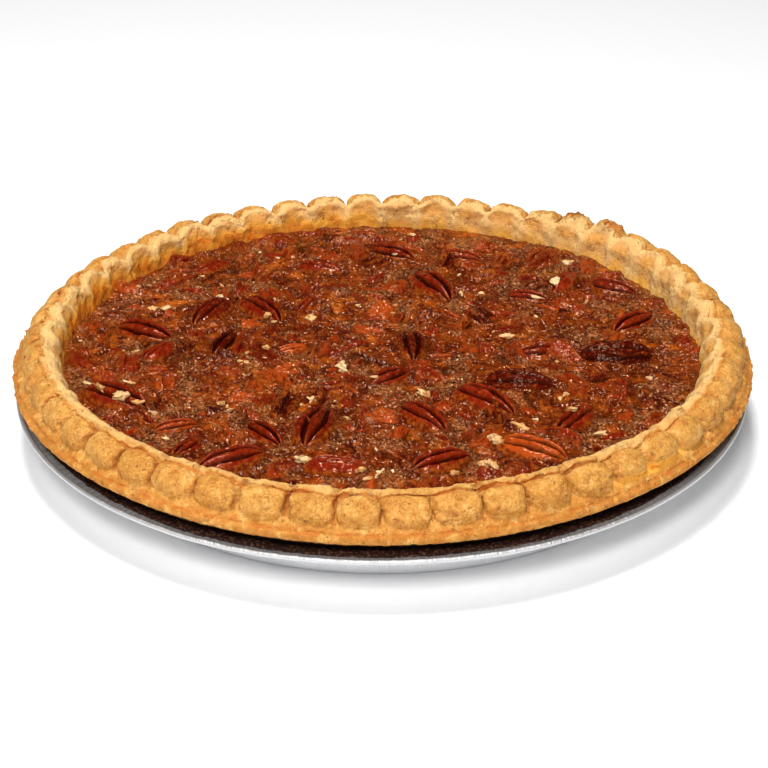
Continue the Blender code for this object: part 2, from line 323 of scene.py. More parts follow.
def tin_profile():
    """Radius and height from the base's middle up the outside, round the bead and back inside."""
    bead = (TIN_RIM_RADIUS - BEAD_RADIUS, FLANGE_HEIGHT + BEAD_RADIUS)
    ring = BASE_RING_RADIUS
    heel = TIN_BASE_RADIUS - HEEL_RADIUS
    outside = [(0.0, 0.0), (ring - 2 * MM, 0.0), (ring - MM, FOIL), (ring + MM, FOIL),
               (ring + 2 * MM, 0.0)]
    outside += arc((heel, HEEL_RADIUS), HEEL_RADIUS, -90, -35, 4)
    wall_foot = outside[-1]
    outside += run(wall_foot, (FLANGE_INNER - MM, FLANGE_HEIGHT - 0.8 * MM), 8)[1:]
    outside += run((FLANGE_INNER - 0.6 * MM, FLANGE_HEIGHT - 0.3 * MM),
                   (FLANGE_INNER + 0.6 * MM, FLANGE_HEIGHT), 2)
    outside += run((FLANGE_INNER + 0.6 * MM, FLANGE_HEIGHT), (bead[0] - 0.6 * MM, FLANGE_HEIGHT), 8)
    outside += arc(bead, BEAD_RADIUS, -120, 155, 14)
    inside = run((bead[0] - BEAD_RADIUS, FLANGE_TOP), (FLANGE_INNER, FLANGE_TOP), 8)
    inside += run((FLANGE_INNER - FOIL, FLANGE_TOP - FOIL),
                  (wall_foot[0] - FOIL, wall_foot[1] + FOIL), 8)
    inside += [(heel, 2 * FOIL), (heel - 3 * MM, FOIL), (0.0, FOIL)]
    return outside + inside


def turning_tree():
    """Turns the object's own row of points about the Z axis, then wrinkles it beyond a radius."""
    tree = Shaper("turned_sheet", {"Sides": int, "Points": int, "Wrinkle From": float,
                                   "Wrinkle Depth": float, "Wrinkle Size": float, "Waver": float,
                                   "Ragged": float})
    grid = tree.node("GeometryNodeMeshGrid", {
        "Size X": 1.0, "Size Y": 1.0, "Vertices X": tree.given("Sides") + 1.0,
        "Vertices Y": tree.given("Points")}, "Mesh")
    x, y, _ = tree.split(tree.position())
    turn = (x + 0.5) * (2 * math.pi)
    number = ((y + 0.5) * (tree.given("Points") - 1.0)).maths("ROUND")
    point = tree.node("GeometryNodeSampleIndex", {
        "Geometry": tree.given(), "Value": tree.position(), "Index": number},
        data_type="FLOAT_VECTOR")
    radius, _, height = tree.split(point)
    cosine, sine = turn.maths("COSINE"), turn.maths("SINE")
    bearing = tree.joined(cosine * TIN_RIM_RADIUS, sine * TIN_RIM_RADIUS, 0.0)
    wrinkle = tree.noise(bearing, tree.given("Wrinkle Size"), 2.0)
    rim = radius.between(tree.given("Wrinkle From"), tree.given("Wrinkle From") + 2 * MM)
    slow = tree.noise(bearing, 30 * MM, 1.0)
    lift = rim * ((wrinkle - 0.5) * 2 * tree.given("Wrinkle Depth") + (slow - 0.5) * tree.given("Waver"))
    frayed = tree.noise(tree.joined(cosine * TIN_RIM_RADIUS, sine * TIN_RIM_RADIUS, radius), 4 * MM, 4.0)
    radius = radius + (frayed - 0.5) * tree.given("Ragged")
    turned = tree.node("GeometryNodeSetPosition", {
        "Geometry": grid, "Position": tree.joined(radius * cosine, radius * sine, height + lift)})
    tree.end(tree.node("GeometryNodeMergeByDistance", {"Geometry": turned, "Distance": 1e-6}))
    return tree


def foil_finish():
    foil = Finish("crinkled_foil")
    fine = foil.noise(foil.place, 0.6 * MM, 3.0)
    soft = foil.noise(foil.place, 9 * MM, 2.0)
    rubbed = foil.noise(foil.place, 25 * MM, 3.0)
    x, y, height = foil.split(foil.place)
    reach = (x * x + y * y) ** 0.5
    around = foil.joined(x / reach * TIN_RIM_RADIUS, y / reach * TIN_RIM_RADIUS, 0.0)
    pleats = foil.noise(around, 0.75 * MM, 2.0, 0.6)
    inner_flange = 1.0 - reach.between(TIN_RIM_RADIUS - 1.6 * MM, TIN_RIM_RADIUS - 0.5 * MM)
    low = 1.0 - height.between(0.0, 14 * MM)
    # The flange and bead take the darker colour, painted shade on their highlight, and the wall the
    # lighter one, painted light in its shade
    rolled = height.between(14.6 * MM, 16 * MM)
    colour = foil.mix(rolled, WALL_PAINTED_LIGHT_COLOUR, RIM_PAINTED_SHADE_COLOUR)
    # Painted shade in the crinkles across the flange
    crinkle_shade = pleats.between(0.47, 0.6) * inner_flange * (1.0 - low)
    colour = foil.mix(crinkle_shade * 0.6, colour, CRINKLE_SHADE_COLOUR)
    relief = foil.bump(soft, 0.25 * MM, foil.bump(fine, 0.02 * MM))
    relief = foil.bump(pleats * (1.0 - low), 0.5 * MM, relief)
    return foil.shade(Base_Color=colour, Metallic=0.55, Roughness=0.34 + rubbed * 0.18, Normal=relief)


turning = turning_tree()
profile = tin_profile()
tin = add_piece("tin", [(radius, 0.0, height) for radius, height in profile], [], ["foil_tin"])
turning.shape(tin, foil_finish(), Sides=TIN_SIDES, Points=len(profile),
              Wrinkle_From=TIN_RIM_RADIUS - 7.5 * MM, Wrinkle_Depth=0.14 * MM, Wrinkle_Size=1.5 * MM,
              Waver=0.5 * MM, Ragged=0.0)
close_mesh(tin)
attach(tin, "root")


# The burnt syrup under the lip
# Filling that boiled over ran between crust and tin and baked black on the flange. It is a thin
# rough ribbon of burnt sugar, all round the tin. Its near black is partly painted shade under the crust's
# lip.

SYRUP_INNER = FLANGE_INNER - 0.6 * MM
SYRUP_WIDTH = 4.7 * MM
SYRUP_HEIGHT = 0.75 * MM
SYRUP_SIDES = 900
SYRUP_STEPS = 8
# Near black partly for the burnt sugar and partly as painted shade under the crust's lip
SYRUP_BLACK_AND_SHADE = (0.024, 0.005, 0.002, 1)
SYRUP_SPECKS = (0.17, 0.075, 0.035, 1)


def syrup_profile():
    level = FLANGE_HEIGHT + FOIL / 2
    crown = []
    for i in range(SYRUP_STEPS + 1):
        across = i / SYRUP_STEPS
        crown.append((SYRUP_INNER + SYRUP_WIDTH * across,
                      level + SYRUP_HEIGHT * math.sqrt(max(0.0, 1 - across ** 2))))
    return crown + [(SYRUP_INNER, level - FOIL / 4), crown[0]]


def burnt_finish():
    burnt = Finish("burnt_syrup")
    grit = burnt.noise(burnt.place, 0.7 * MM, 4.0, 0.7)
    specks = burnt.noise(burnt.place, 0.9 * MM, 1.0).between(0.52, 0.66)
    # Burnt sugar and painted shade under the lip, with paler specks
    colour = burnt.mix(specks, SYRUP_BLACK_AND_SHADE, SYRUP_SPECKS)
    return burnt.shade(Base_Color=colour, Roughness=0.3 + grit * 0.4, Normal=burnt.bump(grit, 0.4 * MM))


syrup_points = syrup_profile()
syrup = add_piece("burnt_syrup", [(radius, 0.0, height) for radius, height in syrup_points], [])
turning.shape(syrup, burnt_finish(), Sides=SYRUP_SIDES, Points=len(syrup_points),
              Wrinkle_From=SYRUP_INNER - 4 * MM, Wrinkle_Depth=0.25 * MM, Wrinkle_Size=1.6 * MM,
              Waver=0.1 * MM, Ragged=1.8 * MM)
close_mesh(syrup)
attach(syrup, "root")


# The pie crust
# Shortcrust pastry that lines the tin and hangs over its flange in a thin torn lip. The rim is
# folded up and pressed between thumb and fingers all round, then baked golden. It is darker in the
# folds, browned there and painted with shade as well.

CRIMPS = 50
CRIMP_COLUMNS = 26
CRUST_LIP_RADIUS = 122.5 * MM
CRUST_LIP_HEIGHT = 24.4 * MM
CRUST_OVALITY = 1.1 * MM
RIM_WAVE = 0.3 * MM
CRIMP_DEPTH = 2.6 * MM
CRIMP_JITTER = 0.06
FLUTE_DEPTH = 0.9 * MM
VALLEY_DEPTH = 2.7 * MM
FOLD_DEPTH = 1.6 * MM
NOOK_DEPTH = 1.6 * MM
PILLOW_LEAN = 0.6 * MM
FRILL_DEPTH = 1.6 * MM
INNER_WAVE = 1.2 * MM
LIP_CRACK = 0.8 * MM
RAGGED_EDGE = 0.6 * MM
RAGGED_SCALE = 26
CRUST_FLOOR = 5.2 * MM
FILLING_RADIUS = 106 * MM
FILLING_HEIGHT = 24.2 * MM
CRIMP_SEED = 11

# Bearings in degrees: the front, where the folded edge hangs over, and the slack crimps at the left
FRONT = -90
FRONT_HALF_WIDTH = 55
SLACK_BEARING = 192

# Each row of the rim, from the lip's torn edge up over the crimps and down inside: radius and
# height from the lip's outer edge in mm, how far a crimp's pillow lifts it outwards and upwards, how
# ragged it is, how much it follows the rim's swell and rise, its flute inside, and its flakes
RIM_ROWS = np.array([
    (-1.3, -1.9, 0.00, 0.00, 1.0, 1.0, 1.0, 0.0, 0.0),
    (-0.15, -0.9, 0.00, 0.00, 1.0, 1.0, 1.0, 0.0, 0.0),
    (-0.25, 0.6, 0.00, 0.00, 0.9, 1.0, 1.0, 0.0, 0.0),
    (-1.4, 1.5, 0.00, 0.00, 0.5, 1.0, 1.0, 0.0, 0.0),
    (-3.2, 2.9, 0.15, 0.05, 0.3, 1.0, 1.0, 0.0, 0.0),
    (-4.4, 4.9, 0.95, 0.30, 0.0, 1.0, 1.0, 0.0, 0.0),
    (-6.3, 7.5, 1.00, 0.65, 0.0, 1.0, 1.0, 0.0, 0.5),
    (-8.8, 9.3, 0.50, 0.80, 0.0, 1.0, 1.0, 0.0, 0.9),
    (-10.6, 9.3, 0.05, 0.30, 0.1, 1.0, 1.0, 0.0, 0.9),
    (-10.2, 10.3, 0.00, 0.00, 0.3, 1.0, 1.0, 0.0, 0.8),
    (-12.4, 10.4, 0.00, 0.00, 0.2, 1.0, 1.0, 0.2, 0.4),
    (-14.1, 9.1, 0.00, 0.00, 0.5, 1.0, 1.0, 0.8, 0.0),
    (-15.4, 6.6, 0.00, 0.00, 0.3, 0.4, 1.0, 1.0, 0.0),
    (-16.2, 3.0, 0.00, 0.00, 0.0, 0.4, 0.3, 0.9, 0.0),
    (-16.6, -1.5, 0.00, 0.00, 0.0, 0.0, 0.3, 0.6, 0.0),
])
ROW_STEPS = (2, 3, 3, 4, 6, 7, 7, 6, 4, 5, 6, 4, 5, 3)

# The row at the middle of a crimp's pillow, and how many rows it reaches up and down from there
KNOB_ROW = 6.05
KNOB_ROWS = 2.0

# Crumbled flakes on the back of the rim: bearing and half width in degrees, and height in mm
FLAKES = [(51.0, 5.0, 2.5), (42.2, 3.6, 2.2)]

# Where the rim was pressed out of round: bearing and half width in degrees, then how far it goes
# out and up in mm
PRESSED_PLACES = [(36.0, 13.0, 1.8, 1.0), (152.0, 20.0, -1.1, 0.0)]

# Places that browned or burnt in the oven: bearing in degrees, row, half width in degrees, half
# height in rows, and how dark. Those at the front at rows 7.5 and 7.6 lie under the hanging edge,
# where their darkness is painted shade as well.
BROWNED_PLACES = [
    (51.0, 8.4, 4.2, 2.2, 0.62), (42.2, 8.4, 3.2, 2.2, 0.62), (125, 8.6, 8.0, 0.7, 0.8),
    (178, 7.6, 3.0, 0.7, 0.9), (167, 7.5, 2.0, 0.6, 0.8), (159, 7.5, 1.6, 0.5, 0.7),
    (9, 8.0, 1.6, 0.6, 0.9), (85, 10.6, 0.5, 0.25, 0.8), (188, 5.6, 0.7, 0.2, 0.9),
    (-72, 6.4, 0.45, 0.2, 1.0), (-79.4, 5.2, 0.4, 0.18, 0.9), (-66, 3.6, 1.0, 0.3, 0.5),
    (-101.6, 7.5, 3.0, 0.6, 0.8), (-94.6, 7.6, 2.4, 0.5, 0.75), (-90, 5.3, 0.6, 0.5, 0.6),
    (-112, 7.5, 2.2, 0.5, 0.7), (62, 11.2, 1.8, 0.5, 0.4), (-128, 7.6, 1.2, 0.4, 0.6),
    (-84, 7.6, 1.6, 0.4, 0.55), (-69, 7.5, 1.4, 0.4, 0.5), (-55, 7.6, 1.6, 0.4, 0.5),
]

def ease(value, low, high):
    """0 below one value, 1 above the other, and smooth from one to the other."""
    share = np.clip((np.asarray(value, float) - low) / (high - low), 0, 1)
    return share * share * (3 - 2 * share)


def knob_dome(across, row):
    """How far a crimp's pillow stands out, from 0 at its rounded outline to 1."""
    sideways = np.abs(2 * across ** 1.08 - 1) ** 3.0
    upright = abs((row - KNOB_ROW) / KNOB_ROWS) ** 2.8
    return (1 - np.clip(sideways + upright, 0, 1)) ** 0.5


def crimp_strength(angle):
    """How deeply the crimps are pressed: 1 all round, and half of that where they are slack."""
    return 1.0 - 0.5 * np.maximum(0.0, np.cos(angle - math.radians(SLACK_BEARING))) ** 14


def bell(value, middle, half_width, power=2):
    """1 at one value and falling away to both sides of it, more steeply for a higher power."""
    return np.exp(-np.abs((value - middle) / half_width) ** power)


def near(bearing, middle, half_width, power=2):
    """1 at one bearing and falling away to both sides of it, in degrees."""
    return bell((bearing - middle + 180) % 360 - 180, 0, half_width, power)


def rim_swell(angle):
    swell = CRUST_OVALITY * np.cos(2 * angle) + RIM_WAVE * np.sin(3 * angle + 1.0)
    for middle, half_width, out, _ in PRESSED_PLACES:
        swell = swell + out * MM * near(np.degrees(angle), middle, half_width)
    return swell


def rim_rise(angle):
    rise = RIM_WAVE * (1.2 * np.sin(2 * angle + 0.6) + 0.8 * np.sin(5 * angle))
    for middle, half_width, _, up in PRESSED_PLACES:
        rise = rise + up * MM * near(np.degrees(angle), middle, half_width)
    return rise


def crimp_columns():
    """The angle, place across its crimp and lift of every column of points round the rim."""
    draw = random.Random(CRIMP_SEED)
    pitch = 2 * math.pi / CRIMPS
    starts = []
    for i in range(CRIMPS):
        starts.append((i + draw.uniform(-CRIMP_JITTER, CRIMP_JITTER)) * pitch - math.pi / 2)
    lifts = [draw.uniform(0.78, 1.16) for _ in range(CRIMPS)]
    step = np.arange(CRIMP_COLUMNS) / CRIMP_COLUMNS
    share = step - 0.1 * np.sin(2 * np.pi * step)
    angles, across, lift = [], [], []
    for i, start in enumerate(starts):
        end = starts[i + 1] if i + 1 < CRIMPS else starts[0] + 2 * math.pi
        angle = start + (end - start) * share
        angles.append(angle)
        across.append(share)
        lift.append(lifts[i] * crimp_strength(angle))
    return np.concatenate(angles), np.concatenate(across), np.concatenate(lift)


def smooth_rows():
    """A smooth curve through the rim's rows: the row number and the row's values at each step."""
    rows, values = [], []
    padded = np.vstack([2 * RIM_ROWS[0] - RIM_ROWS[1], RIM_ROWS, 2 * RIM_ROWS[-1] - RIM_ROWS[-2]])
    for i, steps in enumerate(ROW_STEPS):
        before, first, second, after = padded[i:i + 4]
        for j in range(steps):
            t = j / steps
            values.append(0.5 * (2 * first + (second - before) * t
                                 + (2 * before - 5 * first + 4 * second - after) * t ** 2
                                 + (3 * first - before - 3 * second + after) * t ** 3))
            rows.append(i + t)
    return rows + [len(RIM_ROWS) - 1.0], values + [RIM_ROWS[-1]]


def noise_round(angle, depth, scale, octaves=1):
    """Noise at each point of a ring, given a depth in metres as the third direction."""
    values = np.zeros(len(angle))
    for i, turn in enumerate(angle):
        spot = Vector((math.cos(turn), math.sin(turn), depth)) * scale
        values[i] = noise.noise(spot) if octaves == 1 else noise.fractal(spot, 0.8, 2.0, octaves)
    return values


def rim_ring(row, values, angle, across, lift):
    """One ring of the rim: radius, height and the masks that its colours follow."""
    out, up, lift_out, lift_up, ragged, swell_share, rise_share, flute, flaky = values
    bearing = np.degrees(angle)
    rough = noise_round(angle, row * 0.03, RAGGED_SCALE)
    torn = noise_round(angle, row * 0.012, 90, 3)
    radius = CRUST_LIP_RADIUS + out * MM + rim_swell(angle) * swell_share
    radius += RAGGED_EDGE * ragged * (rough + 1.1 * torn - 0.8)
    height = CRUST_LIP_HEIGHT + up * MM + rim_rise(angle) * rise_share
    height += RAGGED_EDGE * ragged * (rough + 1.1 * torn)
    flakes = sum(high * MM * near(bearing, middle, half, 4) for middle, half, high in FLAKES)
    height += flaky * flakes * (0.85 + 0.5 * torn)
    radius += flaky * flakes * 0.6 * torn

    # Each crimp is a pillow with a rounded foot, between two narrow folds
    to_fold = np.minimum(across, 1 - across)
    on_crimp = bell(row, KNOB_ROW, 2.2, 8)
    dome = knob_dome(across, row)
    pushed = (1.25 * dome - 0.62 * on_crimp) * lift * CRIMP_DEPTH
    radius += lift_out * pushed
    height += lift_up * pushed
    groove = bell(to_fold, 0, 0.045)
    radius -= FOLD_DEPTH * groove * on_crimp * lift
    radius += PILLOW_LEAN * (across - 0.5) * on_crimp * lift

    # At the front the folded edge above the crimps hangs a little over the pillows, notched at each
    # fold. Elsewhere the crimps run on over the top as rounded ridges with deep folds between them.
    hung = near(bearing, FRONT, FRONT_HALF_WIDTH, 4)
    hung = hung * (0.5 + 0.5 * ease(noise_round(angle, 0.3, 7), -0.25, 0.2))
    radius += (1 - hung) * MM * (1.0 * bell(row, 8, 0.7) - 0.8 * bell(row, 9.1, 0.6))
    height += (1 - hung) * MM * bell(row, 8, 0.7)
    ridge = 1 - np.abs(2 * across - 1) ** 2.2
    over_top = bell(row, 8.6, 2.0, 4)
    height += VALLEY_DEPTH * (ridge - 0.75) * over_top * (1 - 0.75 * hung) * lift
    edge = bell(row, 8.9, 1.1, 4)
    notch = bell(to_fold, 0, 0.12)
    frilled = noise_round(angle, 0.5, 14, 3)
    radius += edge * (FRILL_DEPTH * frilled - (1.3 + 0.6 * hung) * MM * notch * lift)
    height += edge * (0.8 * MM * rough + 0.6 * MM * torn - (1.8 - 0.5 * hung) * MM * notch * lift)

    # Inside, a fingertip pressed an arched dent behind each crimp, and left a tooth at each fold
    wavy = noise_round(angle, 0.4, 9)
    arch = 1 - (np.abs(2 * across - 1) / 0.9) ** 2 - max(0.0, (12.2 - row) / 2.0) ** 2
    dent = ease(arch + 0.45 * wavy + 0.2 * rough, 0, 1.0)
    tooth = 1 - dent
    radius += INNER_WAVE * wavy * bell(row, 11, 0.9)
    radius += FLUTE_DEPTH * flute * (dent - 0.55) * np.minimum(1.1, lift)
    radius -= LIP_CRACK * bell(row, 2.8, 0.3) * np.clip(0.6 + 2.0 * torn, 0, 1.4)
    nook = bell(to_fold, 0, 0.09) * bell(row, 7.5, 0.7) * hung * lift
    radius -= NOOK_DEPTH * nook

    # Darker in the folds, in the nooks, under the hanging edge and on each pillow's right side: painted
    # shade, with some browning from the oven. The darker lines under the folded edge, in the lip's crack
    # and in the dents inside are painted shade as well, with some toasting.
    uneven = 0.35 + 0.65 * ease(noise_round(angle, 0.9, 8), -0.25, 0.3)
    # Painted shade under the hanging edge at the front
    under_ledge_shade = bell(row, 7.65, 0.4) * hung * ease(noise_round(angle, 0.2, 14, 2), -0.2, 0.25)
    browned = np.maximum.reduce([
        # Painted shade in the folds between pillows, with some browning
        1.3 * bell(to_fold, 0, 0.045) * on_crimp * (0.45 + 0.55 * ease(row, 5.2, 7.2)) * uneven,
        0.85 * under_ledge_shade,
        # Painted shadow down the right side of each pillow
        0.55 * bell(across, 0.97, 0.035) * on_crimp * uneven,
        # Painted shade in the folds between the ridges over the top
        0.55 * bell(to_fold, 0, 0.05) * bell(row, 9.4, 1.6) * (1 - hung),
        # Painted shade in the nooks under the hanging edge
        1.3 * nook * (0.4 + 0.6 * uneven),
    ])
    # A painted shadow line along the top edge of each dent inside
    dent_edge_shadow = 4 * dent * tooth * bell(row, 11.5, 1.0, 4) * (1 - hung) * ease(rough, -0.3, 0.3)
    # The dents inside, tinted darker and warmer as painted shade
    hollow_shade = dent * bell(row, 11.5, 1.1, 4) * (1 - hung)
    toasted = np.maximum.reduce([
        # A darker line under the folded edge, strongest where it hangs over: painted shade with some
        # toasting
        bell(row, 8.1, 0.7) * ease(noise_round(angle, 0.7, 9, 2), -0.3, 0.15) * (0.3 + 0.8 * hung),
        # A darker line in the crack between the lip's layers: painted shade with some toasting
        1.1 * bell(row, 2.8, 0.35) * ease(rough + torn, -0.3, 0.3),
        0.4 * dent_edge_shadow,
        0.35 * hollow_shade,
    ])
    for middle, at_row, half, rows_half, dark in BROWNED_PLACES:
        spot = near(bearing, middle, half) * bell(row, at_row, rows_half)
        browned = np.maximum(browned, dark * spot * np.clip(1 + 1.2 * torn, 0.3, 1.6))
    back_left = near(bearing, 145, 55, 4)
    soaked = ease(row + 1.1 * back_left - 0.5 * tooth + 0.4 * wavy - 0.5 * rough, 11.8, 14.0)
    # Painted warm shade in the dents inside, laid in with the soaked colour
    soaked = np.maximum(soaked * (0.7 + 0.3 * back_left), 0.45 * hollow_shade)
    soaked = np.maximum(soaked, 0.9 * near(bearing, -46, 9) * bell(row, 4.4, 0.7))
    pale = ease(row, 8.4, 9.4) * (0.9 + 0.2 * tooth) * (1 - 0.85 * hung)
    band = 1 - ease(row - 0.5 * to_fold, 3.2, 4.4)
    return radius, height, {"browned": browned, "soaked": soaked, "pale": pale,
                            "toasted": toasted, "band": band * np.ones(len(angle)),
                            "under": np.zeros(len(angle))}


def crust_mesh():
    """The closed crust: rim rings, then the hidden underside and inner wall in plain rings."""
    angle, across, lift = crimp_columns()
    under = [(TIN_BASE_RADIUS - 2.4 * MM, 0.95 * MM), (TIN_BASE_RADIUS - 1.4 * MM, 1.35 * MM),
             (FLANGE_INNER - 1.3 * MM, FLANGE_HEIGHT), (FLANGE_INNER, FLANGE_TOP + 0.9 * MM),
             (FLANGE_INNER + 0.6 * MM, FLANGE_TOP + 1.9 * MM),
             (FLANGE_INNER + 1.6 * MM, FLANGE_TOP + 3.4 * MM),
             (CRUST_LIP_RADIUS - 3.0 * MM, CRUST_LIP_HEIGHT - 2.6 * MM)]
    shell = [(FILLING_RADIUS - 4 * MM, FILLING_HEIGHT - 6 * MM), (98.9 * MM, CRUST_FLOOR + 0.6 * MM),
             (97.1 * MM, CRUST_FLOOR)]
    rings = []
    hidden = {name: np.zeros(len(angle)) for name in ("browned", "pale", "toasted", "band")}
    for i, (radius, height) in enumerate(under):
        torn = noise_round(angle, i * 0.05, 60, 2) * 0.4 * MM * (1 if i > 3 else 0)
        masks = {**hidden, "soaked": 0 * angle, "under": 0 * angle + 1}
        rings.append((radius + 0 * angle, height + torn, masks))
    for row, values in zip(*smooth_rows()):
        rings.append(rim_ring(row, values, angle, across, lift))
    for radius, height in shell:
        masks = {**hidden, "soaked": 0 * angle + 1, "under": 0 * angle}
        rings.append((radius + 0 * angle, height + 0 * angle, masks))
    count = len(angle)
    verts = np.concatenate([np.column_stack((radius * np.cos(angle), radius * np.sin(angle), height))
                            for radius, height, _ in rings])
    faces = []
    for ring in range(len(rings) - 1):
        base = ring * count
        for i in range(count):
            j = (i + 1) % count
            faces.append((base + i, base + j, base + count + j, base + count + i))
    faces.append(tuple(range(count)))
    faces.append(tuple(range((len(rings) - 1) * count, len(rings) * count)))
    masks = {name: np.concatenate([ring[2][name] for ring in rings]) for name in rings[0][2]}
    return verts, faces, masks


def store(mesh, masks):
    """Keeps each mask on the mesh as an attribute of its points."""
    for name, values in masks.items():
        layer = mesh.attributes.new(name, "FLOAT", "POINT")
        layer.data.foreach_set("value", np.asarray(values, np.float32))


def crumb_tree():
    """Baked pastry's own relief: soft lumps, a fine crumb, pores and a few short cracks."""
    tree = Shaper("pastry_relief", {"Lump Depth": float, "Crumb Depth": float, "Pore Depth": float,
                                    "Crack Depth": float})
    place = tree.position()
    shown = (1.0 - tree.named("under")) * (1.0 - tree.named("band") * 0.7)
    lumps = tree.noise(place, 5 * MM, 3.0, 0.6) - 0.5
    crumb = tree.noise(place, 1.5 * MM, 3.0, 0.6) - 0.5
    pores = 1.0 - tree.cells(tree.warped(place, 5 * MM), 3.4 * MM).between(0.06, 0.24)
    some = tree.noise(place, 8 * MM, 1.0).between(0.5, 0.6)
    lines = 1.0 - (tree.noise(place, 6 * MM, 3.0) - 0.5).maths("ABSOLUTE").between(0.0, 0.05)
    cracked = tree.noise(place, 8 * MM, 1.0).between(0.5, 0.58)
    depth = (lumps * tree.given("Lump Depth") + crumb * tree.given("Crumb Depth")
             - pores * some * tree.given("Pore Depth") - lines * cracked * tree.given("Crack Depth"))
    outwards = tree.node("GeometryNodeInputNormal")
    offset = tree.node("ShaderNodeVectorMath", {0: outwards, "Scale": depth * shown},
                       operation="SCALE")
    tree.end(tree.node("GeometryNodeSetPosition", {"Geometry": tree.given(), "Offset": offset}))
    return tree


def tint(red, green, blue):
    """A colour as seen, each part from 0 to 255, as the linear colour that a shader takes."""
    linear = [(part / 255 + 0.055) ** 2.4 / 1.055 ** 2.4 if part > 10 else part / 3294
              for part in (red, green, blue)]
    return (*linear, 1.0)


def layered(finish, colour, *layers):
    """A colour with others laid over it in turn, each given by its mask and its tint."""
    for mask, over in layers:
        colour = finish.mix(mask, colour, tint(*over))
    return colour


def pastry_finish():
    pastry = Finish("baked_crust")
    place = pastry.place
    blush = pastry.noise(place, 16 * MM, 3.0)
    mottle = pastry.noise(place, 3.2 * MM, 4.0, 0.6)
    grain = pastry.noise(place, 0.7 * MM, 3.0, 0.7)
    pore = 1.0 - pastry.cells(pastry.warped(place, 4 * MM), 2.0 * MM).between(0.04, 0.2)
    pore = pore * pastry.noise(place, 6 * MM, 1.0).between(0.46, 0.6)
    crack = 1.0 - (pastry.noise(place, 6 * MM, 3.0) - 0.5).maths("ABSOLUTE").between(0.0, 0.03)
    crack = crack * pastry.noise(place, 8 * MM, 1.0).between(0.5, 0.58)
    soaked = pastry.attribute("soaked")
    browned = pastry.attribute("browned")
    colour = pastry.mix(blush.between(0.35, 0.65), tint(208, 144, 60), tint(222, 162, 78))
    colour = layered(
        pastry, colour,
        (mottle.between(0.46, 0.72) * 0.9, (180, 110, 36)),
        (mottle.between(0.46, 0.3) * 0.6, (240, 194, 116)),
        (grain.between(0.5, 0.7) * 0.6, (166, 96, 30)),
        (grain.between(0.48, 0.32) * 0.5, (242, 194, 112)),
        (pastry.attribute("band") * mottle.between(0.3, 0.6) * 0.8, (196, 124, 44)),
        (pastry.attribute("pale") * (0.95 - mottle * 0.5), (244, 200, 130)),
        # Soaked with butter and syrup low inside, and painted warm shade in the dents
        ((soaked * (0.6 + mottle * 0.8)).between(0.1, 0.8), (248, 176, 64)),
        ((soaked * (0.5 + mottle)).between(0.65, 1.15), (226, 120, 24)),
        # Toasting, with painted shade under the folded edge, in the lip's crack and in the dents inside
        (pastry.attribute("toasted") * (0.4 + mottle), (200, 112, 34)),
        # Painted shade in the pores
        (pore * 0.75, (140, 76, 28)),
        # Painted shade in the cracks
        (crack * 0.5, (152, 86, 34)),
        # Browning, with painted shade in the folds, the nooks and down each pillow's right side
        ((browned * (0.7 + mottle * 0.6)).between(0.12, 1.0), (164, 84, 24)),
        ((browned * (0.5 + grain)).between(0.8, 1.3), (98, 42, 12)),
        # The underside near black: dark-baked crust and painted shade under the lip
        (pastry.attribute("under").between(0.0, 0.8), (34, 14, 7)))
    relief = pastry.bump(grain, 0.5 * MM, pastry.bump(mottle, 0.9 * MM))
    relief = pastry.bump(1.0 - pore, 0.5 * MM, relief)
    return pastry.shade(Base_Color=colour, Roughness=0.66 - soaked * 0.3, Normal=relief,
                        Specular_IOR_Level=0.25, Subsurface_Weight=0.3,
                        Subsurface_Radius=(1.0, 0.45, 0.18), Subsurface_Scale=2.5 * MM)


crust_verts, crust_faces, crust_masks = crust_mesh()
crust = add_piece("crust", crust_verts, crust_faces, ["pie_crust"])
close_mesh(crust)
store(crust.data, crust_masks)
crumb_tree().shape(crust, pastry_finish(), Lump_Depth=2.4 * MM, Crumb_Depth=0.6 * MM,
                   Pore_Depth=0.7 * MM, Crack_Depth=0.5 * MM)
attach(crust, "root")


# The chopped nuts
# Broken pecans, brown-skinned outside and paler where they broke. They go into the crust first, and
# the custard that is poured over them floats them up, so that part of each one shows.

FILLING_DOME = 0.8 * MM
LUMP_HEIGHT = 1.3 * MM
LUMP_SIZE = 11 * MM
FILLING_EDGE = 106.7 * MM
FILLING_GRID = 276
PECAN_WIDTH_SHARE = 0.54
PECAN_HEIGHT_SHARE = 0.25
KERNEL_TAPER = 0.10
GROOVE_AT = 0.34
GROOVE_HALF_WIDTH = 0.14
GROOVE_CUT = 0.46
BROKEN_KINDS = 24
BIT_KINDS = 8
CHOPPED_PIECES = 16
CHOPPED_REACH = 96 * MM
CHOPPED_SPACING = 12 * MM
CHOPPED_CLEARANCE = 5 * MM
CHOPPED_BUMPS = 42
SHARP_ANGLE = math.radians(50)
CHOPPED_SEED = 5
CHOPPED_SHAPE_SEED = 77
NUT_SEED = 21

